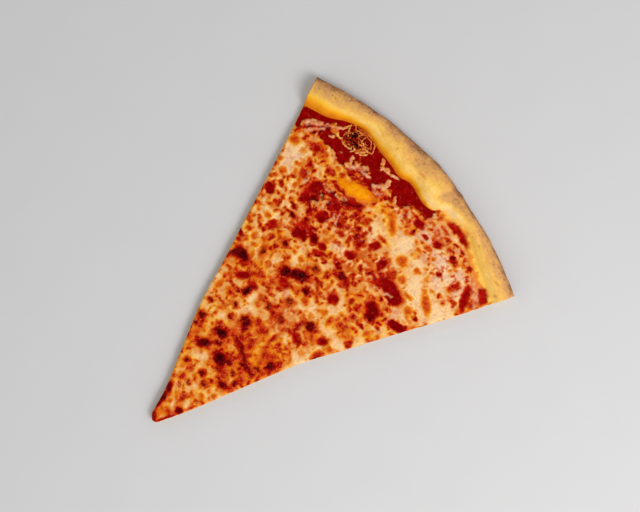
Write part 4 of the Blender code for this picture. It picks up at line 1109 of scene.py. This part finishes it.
def cheese_material():
    """The cheese, with its pools, shreds, blisters and the dough showing at the rim."""
    n = Nodes("cheese_melted")
    fleck = n.noise(1.1, 3.0, roughness=0.6)
    speck = n.swing(fleck, 0.2)
    tone = n.plus(n.attribute("tone"), speck)
    hue = n.attribute("hue")
    color = n.ramp(tone, *CHEESE_DARKS, *CHEESE_LIGHTS)
    color = n.mix(n.steps(hue, 0.0, 1.0), color, n.ramp(tone, *CHEESE_DARKS, *CHEESE_OILY))
    pinkish = n.steps(n.times(hue, -1.0), 0.0, 1.0)
    color = n.mix(pinkish, color, n.ramp(tone, *CHEESE_DARKS, *CHEESE_PINK))
    pool = n.steps(n.attribute("pool"), 0.25, 0.8)
    red = n.ramp(tone, (0.06, 100, 0, 2), (0.16, 136, 3, 4), (0.26, 168, 12, 6), (0.42, 192, 56, 18))
    color = n.mix(pool, color, red)
    bubble = n.plus(n.attribute("bubble"), n.times(speck, 2.0))
    yellow = n.ramp(bubble, (0.2, 212, 98, 4), (0.6, 232, 130, 2), (1.0, 244, 156, 6))
    color = n.mix(n.steps(bubble, 0.08, 0.5), color, yellow)
    strands = n.noise(2.4, 3.0)
    shreds = n.ramp(strands, (0.32, 204, 108, 66), (0.47, 222, 150, 106), (0.68, 240, 194, 150))
    oily = n.ramp(strands, (0.32, 204, 100, 34), (0.47, 224, 144, 70), (0.68, 238, 184, 108))
    shreds = n.mix(n.steps(hue, 0.1, 0.8), shreds, oily)
    color = n.mix(n.attribute("shred"), color, shreds)
    color = n.mix(n.steps(n.attribute("wall"), 0.5, 1.0), color, srgb(200, 96, 28))
    # dough up the rim's slope, orange at the foot to pale higher up, its pale end lifted beyond its own tone
    # as painted light where the slope faces away from the lamp
    skin = n.plus(n.attribute("skin"), n.times(speck, 2.5))
    dough = n.ramp(skin, (0.0, 222, 130, 44), (0.3, 234, 158, 58), (0.6, 248, 188, 78), (1.0, 252, 202, 96))
    color = n.mix(n.attribute("dough"), color, dough)

    # painted highlights of oil, brown flecks and burnt blisters over all that
    dry = n.between(pool, 1.0, 0.25)
    middling = n.times(n.steps(tone, 0.12, 0.3), n.steps(tone, 0.75, 0.45), dry)
    # small coral painted highlights, as of wet oil, in the middling tones
    oil_highlights = n.times(n.steps(n.noise(1.3, 1.0), 0.6, 0.7), middling)
    color = n.mix(n.times(oil_highlights, 0.6), color, srgb(232, 124, 72))
    flecks = n.times(n.steps(n.noise(1.9, 1.0), 0.73, 0.78), 0.5)
    color = n.mix(flecks, color, srgb(158, 60, 4))
    burn = n.math("ADD", n.attribute("burn"), n.times(speck, 0.6))
    color = n.mix(n.steps(burn, 0.1, 0.6), color, srgb(104, 3, 2))
    color = n.mix(n.steps(burn, 0.55, 1.1), color, srgb(50, 2, 3))
    n.bump((fleck, 0.25), (n.noise(0.45, 2.0), 0.08))
    duller = n.between(n.steps(burn, 0.2, 0.8), 1.0, 0.35)
    return n.finish(color, 0.28, n.times(n.glints(), duller, dry))


def sauce_material():
    """The sauce's smooth red pulp."""
    n = Nodes("tomato_sauce")
    pulp = n.noise(3.2, 3.0, roughness=0.6)
    fine = n.noise(0.9, 2.0)
    mixed = n.math("ADD", n.times(pulp, 0.65), n.times(fine, 0.35))
    color = n.ramp(mixed, (0.36, 116, 0, 0), (0.5, 135, 2, 2), (0.64, 150, 7, 4))
    n.bump((pulp, 0.55), (fine, 0.15))
    return n.finish(color, 0.25, n.glints())


def dough_material():
    """The crust: baked, oily and stained outside, and crumb at the cuts."""
    n = Nodes("baked_dough")
    soft = n.noise(6.0, 3.0)
    grain = n.noise(0.9, 3.0, roughness=0.65)
    bake = n.math("ADD", n.attribute("bake"), n.swing(soft, 0.2))
    bake = n.plus(bake, n.swing(grain, n.between(bake, 0.15, 0.9)))
    color = n.ramp(
        bake, (0.0, 247, 211, 138), (0.2, 241, 192, 90), (0.42, 229, 170, 84), (0.6, 211, 155, 91),
        (0.76, 186, 130, 80), (0.88, 156, 106, 68), (1.0, 112, 76, 52),
    )  # fmt: skip
    gold = n.plus(n.attribute("gold"), n.swing(grain, 0.3))
    golden = n.ramp(gold, (0.1, 246, 194, 70), (0.5, 244, 178, 36), (0.85, 230, 142, 8), (1.0, 212, 112, 6))
    color = n.mix(n.steps(gold, 0.0, 0.5), color, golden)
    color = n.mix(n.attribute("stain"), color, srgb(176, 52, 8))
    # the rim's pores and the crumb's holes painted a darker brown: painted shade in their pits
    color = n.mix(n.times(n.attribute("pores"), 0.6), color, srgb(140, 76, 30))
    crumb = n.ramp(grain, (0.3, 214, 170, 112), (0.6, 242, 216, 168))
    color = n.mix(n.attribute("crumb"), color, crumb)
    n.bump((grain, 0.22), (n.noise(0.35, 1.0), 0.05))
    return n.finish(color, n.between(soft, 0.55, 0.75), 0.15)


def char_material():
    """The clump's shreds, from nearly black to toasted."""
    n = Nodes("charred_cheese")
    fleck = n.noise(0.9, 3.0)
    tone = n.plus(n.attribute("tone"), n.swing(fleck, 0.4))
    color = n.ramp(
        tone, (0.0, 24, 1, 3), (0.13, 66, 2, 2), (0.25, 132, 4, 2), (0.36, 172, 44, 6),
        (0.5, 204, 84, 18), (0.68, 220, 126, 54), (0.9, 232, 170, 100),
    )  # fmt: skip
    n.bump((fleck, 0.3), (n.noise(0.35, 2.0), 0.08))
    return n.finish(color, 0.35, n.glints())


def floor_material():
    """A plain light grey."""
    n = Nodes("plain_floor")
    color = n.mix(n.noise(40.0, 2.0), srgb(201, 200, 200), srgb(204, 203, 203))
    return n.finish(color, 0.9, 0.1)


# ---------------------------------------------------------------- cheese and sauce


def skin_sets_in(share):
    """0 up to the bearing where dough starts to run up the rim's slope, 1 two degrees beyond it."""
    return smooth(SKIN_FROM, SKIN_FROM + 2, degrees_at(share))


def cheese_edge(share):
    """Where the cheese ends: beyond the rim's foot, and further where the dough runs up it."""
    return rim_edge(share, 2.5) + 4 * skin_sets_in(share)


def make_cheese(maps):
    """The cheese, as rings of vertices that read their looks and heights from the maps."""
    shell = Shell()
    rings = []
    for radius, share in slice_rings(TIP_RADIUS, cheese_edge, 0.67, 320, 40):
        inset = 0.3 + 0.35 * noise(radius + 400 * share, share * 0 + 3, 6, 200)
        x, y = uneven_edge(radius, share, inset, (-0.5, 2))
        values = {key: read_map(maps[key], x, y) for key in maps if key != "rise"}
        near = np.minimum(cut_distance(radius, share), radius - TIP_RADIUS - TIP_ROUNDING * share**2)
        rounding = 0.9 * bell(near, 0.8)
        z = SAUCE_TOP + read_map(maps["rise"], x, y)
        z = np.maximum(z - rounding * (z > SAUCE_TOP + 0.9), np.minimum(z, SAUCE_TOP + 0.2))
        slope = inner_slope(radius, share) - 0.4 * smooth(4.5, 6.5, radius - rim_edge(share))
        skin = SKIN_BLEND * np.log1p(np.exp(np.clip((slope - z) / SKIN_BLEND, -20, 20)))
        rings.append(shell.add(x, y, z + skin * skin_sets_in(share), **values))
    shell.rings(rings)
    close_below(shell, rings, [(SAUCE_TOP - 0.1, 0.1), (SAUCE_TOP - 0.6, 1.5)])
    piece = shell.make("melted_cheese", cheese_material())
    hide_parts("cheese")


def make_sauce():
    """The sauce, a little uneven, from the tip to just beyond the rim's foot."""
    shell = Shell()
    rings = []
    for radius, share in slice_rings(TIP_RADIUS + 0.3, lambda s: rim_edge(s, 2.0), 0.9, 224, 28):
        inset = 0.35 + 0.3 * noise(radius + 300 * share, share * 0 + 9, 5, 210)
        x, y = uneven_edge(radius, share, inset, (-1, 1))
        z = SAUCE_TOP + 0.3 * layered(x, y, 4.5, 220, 3) - 0.05
        rings.append(shell.add(x, y, z))
    shell.rings(rings)
    close_below(shell, rings, [(DOUGH + 0.1, 0.0), (DOUGH - 0.4, 1.0)])
    piece = shell.make("tomato_sauce", sauce_material())
    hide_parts("sauce")


# ---------------------------------------------------------------- crust


def rim_rows():
    """The rim's section from its foot over the top to where it rests."""
    inner, outer, under = 28, 34, 12
    rows = []
    for i in range(inner):
        t = i / inner
        rows.append(RimRow(RIM_TOP_AT * t, math.sin(math.pi / 2 * t), "inner", t * 0.4))
    for i in range(outer + 1):
        turn = math.pi / 2 * (1 - i / outer)
        distance = RIM_TOP_AT + (1 - RIM_TOP_AT) * math.cos(turn)
        rows.append(RimRow(distance, math.sin(turn), "outer", 0.4 + 0.45 * i / outer))
    for i in range(1, under + 1):
        turn = math.pi / 2 * i / under
        distance = RIM_RESTS_AT + (1 - RIM_RESTS_AT) * math.cos(turn)
        rows.append(RimRow(distance, 1 - math.sin(turn), "under", 0.85 + 0.15 * i / under))
    return rows


def rim_place(share, row):
    """Radius and height on the rim's surface, for shares across and one row of its section."""
    foot = rim_edge(share)
    width = outline(RIM_OUTSIDE, share) - foot
    crest = outline(RIM_HEIGHT, share)
    if row.part == "inner":
        z = DOUGH + (crest - DOUGH) * row.height
    elif row.part == "outer":
        z = RIM_BULGE + (crest - RIM_BULGE) * row.height
    else:
        z = RIM_BULGE * row.height + 0 * share
    return foot + width * row.distance, z


def rim_fold(share, along):
    """Where the rim is folded: 0 away from the fold and 1 in it, and how far across it places are."""
    across = degrees_at(share) - (2.85 + 2.1 * along)
    return bell(across, 0.45), across


def rim_flat(share, along):
    """The rim's surface laid flat, in millimetres: along the rim, and round its section."""
    return share * HALF_ANGLE * CHEESE_REACH, along * RIM_AROUND


def rim_pores(share, along):
    """Small pores on the rim's top and outer side, 0 to 1."""
    return smooth(0.35, 0.8, noise(*rim_flat(share, along), 1.5, 320)) * smooth(0.35, 0.6, along)


def rim_lift(share, along):
    """How far the rim's lumps stand out of its plain form, and its pores and its fold lie in it."""
    flat = rim_flat(share, along)
    lumps = 0.6 * layered(*flat, 15, 300, 2) + 0.16 * layered(*flat, 3.5, 310, 2)
    fold = rim_fold(share, along)[0] * smooth(0.12, 0.35, along)
    lift = lumps - 0.25 * rim_pores(share, along) - 0.9 * fold
    return lift * smooth(0.0, 0.1, along) * (1 - smooth(0.86, 0.97, along))


def inner_slope(radius, share):
    """Height of the rim's inner slope, going on down below its foot."""
    foot = rim_edge(share)
    t = (radius - foot) / (outline(RIM_OUTSIDE, share) - foot) / RIM_TOP_AT
    climb = np.where(t > 0, np.sin(np.pi / 2 * np.clip(t, 0, 1)), np.pi / 2 * t)
    lift = rim_lift(share, 0.4 * np.clip(t, 0, 1))
    return DOUGH + (outline(RIM_HEIGHT, share) - DOUGH) * climb + lift


def rim_looks(share, row, x, y):
    """How baked, golden and stained the rim is at places x, y along one row of its section, with painted
    shade and a painted highlight about its fold.
    """
    along = row.along + 0 * share
    flat = rim_flat(share, along)
    bearing = degrees_at(share)
    across_rim = 1.0 if row.part == "under" else row.distance

    # painted shade in the fold and beyond it, as cast by the raised lobe before it, and painted light on
    # that lobe; paler too at one bearing of the foot
    fold, across = rim_fold(share, along)
    painted_shade_and_tint = 0.08 * fold + 0.14 * np.exp(-np.abs(across - 1.0) / 2.0) * smooth(-0.25, 0.5, across)
    painted_shade_and_tint = (painted_shade_and_tint - 0.12 * bell(across + 1.6, 1.9)) * smooth(0.2, 0.4, along)
    painted_shade_and_tint *= 1 - smooth(0.66, 0.84, along)
    painted_shade_and_tint = painted_shade_and_tint - 0.14 * bell(bearing - 6.5, 2.5) * (1 - smooth(0.3, 0.55, across_rim))
    freckles = smooth(0.45, 0.8, noise(*flat, 2.6, 340)) * smooth(0.1, 0.3, along)
    bake = curve_through(RIM_BAKE, across_rim + 0.04 * layered(*flat, 9, 345, 2)) + painted_shade_and_tint
    bake += 0.1 * layered(*flat, 8, 330, 3) + 0.09 * layered(*flat, 2.4, 350, 2) + 0.18 * freckles
    at = (x + 2 * layered(x, y, 5, 360, 2), y + 1.5 * layered(x, y, 5, 365, 2))
    bake += 0.2 * spread(RIM_BROWN, at) - 0.2 * spread(RIM_PALE, at)
    reach = curve_through(RIM_GOLD, bearing)
    gold = 1 - smooth(0.02, 0.26 * reach, across_rim + 0.04 * layered(*flat, 9, 335, 2))
    stain = 0.8 * (1 - smooth(0.0, 0.05, across_rim))
    for smudge_x, smudge_y, length, width in RIM_SMUDGES:
        distance = np.hypot((x - smudge_x) / length, (y - smudge_y) / width)
        smudge = 1 - smooth(0.3, 1.3, distance + 0.3 * noise(x, y, 1.5, 347))
        stain = np.maximum(stain, 0.45 * smudge)
    return {"bake": bake, "gold": gold, "stain": stain}


def make_rim(shell):
    """The rim's surface as rows of vertices, from its inner foot over the top to where it rests."""
    share = np.linspace(-1, 1, 321)
    surface = []
    for row in rim_rows():
        radius, z = rim_place(share, row)
        along = row.along + 0 * share
        lift = rim_lift(share, along)
        out = smooth(0.4, 0.7, along)
        x, y = on_slice(radius + lift * out, share)
        looks = rim_looks(share, row, x, y)
        surface.append(shell.add(x, y, z + lift * (1 - out), pores=rim_pores(share, along), **looks))
    return surface


def add_underside(shell, x, y, from_cut):
    """The crust's browned underside, with shallow pits."""
    pits = 0.3 * smooth(0.1, 0.8, layered(x, y, 7, 330, 2)) * smooth(0, 2, from_cut)
    bake = 0.66 + 0.2 * layered(x, y, 14, 340, 3) + 0.25 * smooth(0.3, 0.9, layered(x, y, 5, 345, 2))
    return shell.add(x, y, pits, bake=bake)


def cut_strip(shell, bottom, top):
    """The cut face of the thin base, between its lower and upper edges."""
    x, y, low = shell.places(bottom)
    high = shell.places(top)[2]
    rows = [bottom]
    for i in range(1, CUT_LEVELS - 1):
        t = i / (CUT_LEVELS - 1)
        rows.append(shell.add(x, y, low + (high - low) * t, bake=0.3 - 0.2 * t, crumb=1.0))
    rows.append(top)
    shell.grid(rows)
    return np.array(rows)


def close_section(shell, loop):
    """Closes the rim's cut end with loops that shrink towards its middle, and its crumb with holes, sunk in
    and painted darker as shade.
    """
    x, y, z = shell.places(loop)
    cx, cy, cz = x.mean(), y.mean(), RIM_BULGE
    inward = math.copysign(1.0, -cx)
    loops = 16
    for k in range(1, loops):
        t = 1 - (k / loops) ** 0.8
        px, py, pz = cx + (x - cx) * t, cy + (y - cy) * t, cz + (z - cz) * t
        holes = smooth(0.15, 0.75, layered(np.hypot(px, py), pz * 1.3, 3.2, 350, 2)) * smooth(0, 4, k)
        px = px + inward * (0.25 * min(k, 3) / 3 + 0.9 * holes)
        # the holes get a darker bake and the pores' brown: painted shade in them
        crumb = shell.add(px, py, pz, bake=0.15 + 0.35 * holes, crumb=1.0, pores=holes)
        shell.band(loop, crumb)
        loop = crumb
    shell.cap(loop)


def make_crust():
    """The crust: the thin base and the puffed rim, closed at the cuts and the tip."""
    shell = Shell()
    rim = make_rim(shell)
    above, below = [], []
    rings = slice_rings(TIP_RADIUS, rim_edge, 1.25, 160, 10)
    for radius, share in rings:
        x, y = on_slice(radius, share)
        below.append(add_underside(shell, x, y, cut_distance(radius, share)))
        if len(below) < len(rings):
            above.append(shell.add(x, y, DOUGH, bake=0.2))
    above.append(rim[0])
    foot = len(below)
    share = np.linspace(-1, 1, 161)
    width = outline(RIM_OUTSIDE, share) - rim_edge(share)
    from_cut = cut_distance(250, share)  # one radius does for all of the rim
    for part in np.linspace(0, RIM_RESTS_AT, 14)[1:-1]:
        x, y = on_slice(rim_edge(share) + part * width, share)
        below.append(add_underside(shell, x, y, from_cut))
    below.append(rim[-1])
    shell.rings(above)
    shell.rings(below)
    shell.grid(rim)

    # the cut faces, and the blunt tip between them
    walls = []
    for side in (0, -1):
        top = np.array([ring[side] for ring in above])
        bottom = np.array([ring[side] for ring in below])
        walls.append(cut_strip(shell, bottom[:foot], top))
        loop = list(walls[-1][:, -1]) + [row[side] for row in rim[1:]] + list(bottom[foot:-1][::-1])
        close_section(shell, np.array(loop))
    left, right = walls
    x, y, _ = shell.places(below[0][1:-1])
    tip_rows = [below[0]]
    for i in range(1, CUT_LEVELS - 1):
        middle = shell.add(x, y, DOUGH * i / (CUT_LEVELS - 1), bake=0.3, crumb=1.0)
        tip_rows.append([left[i, 0], *middle, right[i, 0]])
    shell.grid([*tip_rows, above[0]])
    piece = shell.make("baked_crust", dough_material())
    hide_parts("crust")


# ---------------------------------------------------------------- clump of charred shreds


def add_strand(shell, points, thick, tones, seed):
    """A tapering strand along some points, its tone painted lighter on top and darker underneath, as light
    and shade.
    """
    ahead = np.gradient(points, axis=0)
    ahead /= np.linalg.norm(ahead, axis=1)[:, None]
    side = np.cross(ahead, (0, 0, 1.0))
    side /= np.linalg.norm(side, axis=1)[:, None]
    up = np.cross(side, ahead)
    sides = 8
    turns = 2 * np.pi * np.arange(sides) / sides
    c, s = np.cos(turns), np.sin(turns)
    rings = []
    for i, point in enumerate(points):
        taper = 0.35 + 0.65 * math.sin(math.pi * i / (len(points) - 1)) ** 0.5
        radius = thick * taper * (1 + 0.3 * noise(c + i * 0.9, s + seed * 5.0, 0.9, 400))
        flat = c[:, None] * side[i] * 1.1 + s[:, None] * up[i] * 0.6
        place = point + radius[:, None] * flat
        # tone 0.2 higher on the strand's upper side and lower underneath: painted light and shade
        rings.append(shell.add(*place.T, tone=tones[i] + 0.2 * s))
    for a, b in zip(rings, rings[1:]):
        shell.band(a, b)
    shell.cap(rings[0])
    shell.cap(rings[-1])


def strand_height(x, y, lift):
    """Height of a strand of the clump. lift is how far it stands off the mat, 0 to 1."""
    hill = max(0.0, 1 - ((x - CLUMP_X) / CLUMP_HALF_X) ** 2 - ((y - CLUMP_Y) / CLUMP_HALF_Y) ** 2)
    return SAUCE_TOP + 0.2 + (0.9 + 1.3 * lift) * hill


def add_mat(shell):
    """The clump's burnt mat: rings of a low dome."""
    turns = np.linspace(0, 2 * np.pi, 97)[:-1]
    c, s = np.cos(turns), np.sin(turns)
    uneven = 1 + 0.1 * noise(c * 2, s * 2, 1.0, 402)
    dome = []
    for far in np.linspace(0.04, 1, 34):
        x = CLUMP_X + 0.86 * far * CLUMP_HALF_X * uneven * c
        y = CLUMP_Y + 0.86 * far * CLUMP_HALF_Y * uneven * s
        hole = spread(CLUMP_HOLES, (x, y))
        z = SAUCE_TOP - 0.8 + (1.9 - 0.7 * hole) * math.sqrt(max(0.0, 1 - far * far))
        z = z + 0.5 * layered(x, y, 2.4, 403, 2) * (far < 0.95)
        tone = 0.2 + 0.07 * noise(x, y, 2.0, 404) + 0.12 * smooth(0.2, 0.8, noise(x, y, 3.0, 406))
        tone = tone + hole * (0.24 - tone)
        dome.append(shell.add(x, y, z, tone=tone * (1 - 0.95 * spread(CLUMP_CHAR, (x, y)))))
    for inner, outer in zip(dome, dome[1:]):
        shell.band(inner, outer)
    shell.cap(dome[0])
    shell.cap(dome[-1])


def add_listed_shreds(shell):
    """The clump's larger shreds, along their listed paths."""
    for k, (path, thick, tone) in enumerate(CLUMP_SHREDS):
        along, corners = np.linspace(0, 1, 13), np.linspace(0, 1, len(path))
        x, y = (np.interp(along, corners, line) for line in zip(*path))
        for _ in range(2):
            for line in (x, y):
                line[1:-1] = (line[:-2] + 2 * line[1:-1] + line[2:]) / 4
        x, y = x + 0.4 * noise(x, y, 1.8, 410), y + 0.4 * noise(x, y, 1.8, 411)
        z = [strand_height(px, py, 0.8) for px, py in zip(x, y)] + 0.35 * np.sin(k + np.arange(13) * 0.7)
        tones = tone - 0.1 + 0.28 * noise(x, y, 1.4, 412) - 0.45 * spread(CLUMP_CHAR, (x, y))
        add_strand(shell, np.stack([x, y, z], -1), 0.72 * thick, tones, k)


def add_strewn_shreds(shell, rng):
    """The clump's smaller shreds, strewn over it, the outer ones along its edge."""
    made = 0
    while made < 120:
        angle, far = rng.uniform(0, 2 * math.pi), math.sqrt(rng.uniform(0, 1))
        heading = rng.uniform(0, 2 * math.pi)
        if far > 0.7:
            heading = angle + math.pi / 2 + rng.uniform(-0.8, 0.8)
        turn, step, thick = rng.uniform(-0.5, 0.5), rng.uniform(0.25, 0.5), rng.uniform(0.26, 0.46)
        x = CLUMP_X + far * math.cos(angle) * 0.9 * CLUMP_HALF_X
        y = CLUMP_Y + far * math.sin(angle) * 0.88 * CLUMP_HALF_Y
        phase, lift = rng.uniform(0, 6.28), rng.uniform(0, 0.8)
        points = []
        for i in range(11):
            points.append((x, y, strand_height(x, y, lift) + 0.45 * math.sin(phase + i * 0.6)))
            x += math.cos(heading) * step
            y += math.sin(heading) * step
            heading += turn + rng.uniform(-0.2, 0.2)
        points = np.array(points)
        at = points[:, 0], points[:, 1]
        far_out = np.hypot((at[0] - CLUMP_X) / CLUMP_HALF_X, (at[1] - CLUMP_Y) / CLUMP_HALF_Y)
        if far_out.max() > 0.97 or spread(CLUMP_HOLES, at).max() > 0.3:
            continue
        tones = rng.choice((0.16, 0.34, 0.46, 0.6)) + 0.16 * noise(*at, 1.2, 413)
        add_strand(shell, points, thick, tones - 0.5 * spread(CLUMP_CHAR, at), len(CLUMP_SHREDS) + made)
        made += 1


def make_tangle():
    """The clump of charred shreds: a net of short bent strands on a burnt mat."""
    shell = Shell()
    add_mat(shell)
    add_listed_shreds(shell)
    add_strewn_shreds(shell, np.random.default_rng(21))
    piece = shell.make("charred_tangle", char_material())
    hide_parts("charred_shreds")


# ---------------------------------------------------------------- floor, light and camera


def make_stage():
    """The floor."""
    bpy.ops.mesh.primitive_plane_add(size=6, location=(0, 0, -0.0002))
    floor = bpy.context.object
    floor.name = "floor"
    floor.data.materials.append(floor_material())
    floor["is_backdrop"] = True


def make_lights():
    """Soft light from all round, less of it from straight above, and one broad lamp to the right."""
    world = bpy.data.worlds.new("studio")
    bpy.context.scene.world = world
    world.use_nodes = True
    tree = world.node_tree
    background = tree.nodes["Background"]
    background.inputs["Color"].default_value = (1, 1, 1, 1)
    up = tree.nodes.new("ShaderNodeSeparateXYZ")
    tree.links.new(tree.nodes.new("ShaderNodeTexCoord").outputs["Generated"], up.inputs["Vector"])
    glow = tree.nodes.new("ShaderNodeMapRange")
    ranges = {"From Min": 0.6, "From Max": 0.95, "To Min": 0.9, "To Max": 0.15}
    for name, value in ranges.items():
        glow.inputs[name].default_value = value
    tree.links.new(up.outputs["Z"], glow.inputs["Value"])
    tree.links.new(glow.outputs["Result"], background.inputs["Strength"])
    data = bpy.data.lights.new("key", "AREA")
    data.energy = 10.0
    data.shape = "DISK"
    data.size = 0.8
    key = bpy.data.objects.new("key", data)
    right, ahead, above = 0.75, 0.05, 0.95
    key.location = (right, ahead, above)
    key.rotation_euler = (0, math.atan2(right, above), math.atan2(ahead, right))
    bpy.context.scene.collection.objects.link(key)


def make_camera():
    """A camera straight above, turned so that the slice lies aslant in its view."""
    data = bpy.data.cameras.new("overhead")
    data.lens = 70
    data.sensor_width = 36
    camera = bpy.data.objects.new("overhead", data)
    turn, height = math.radians(48.56), 0.9035
    right, up = 19.0, 25.5  # from the slice's middle, in the view's own directions
    x = right * math.cos(turn) - up * math.sin(turn) - 1.6
    y = right * math.sin(turn) + up * math.cos(turn) + 0.5
    camera.location = (x * MM, y * MM, height)
    camera.rotation_euler = (0, 0, turn)
    bpy.context.scene.collection.objects.link(camera)
    bpy.context.scene.camera = camera
    bpy.context.scene.view_settings.view_transform = "Standard"


def main():
    """Makes everything. The maps come before the pieces that read them."""
    make_camera()
    make_lights()
    make_stage()
    maps = cheese_maps()
    make_crust()
    make_sauce()
    make_cheese(maps)
    make_tangle()


main()
bounds = {"cad": CAD_BOUNDS, "visual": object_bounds()}
{key: [list(corner) for corner in value] for key, value in bounds.items()}
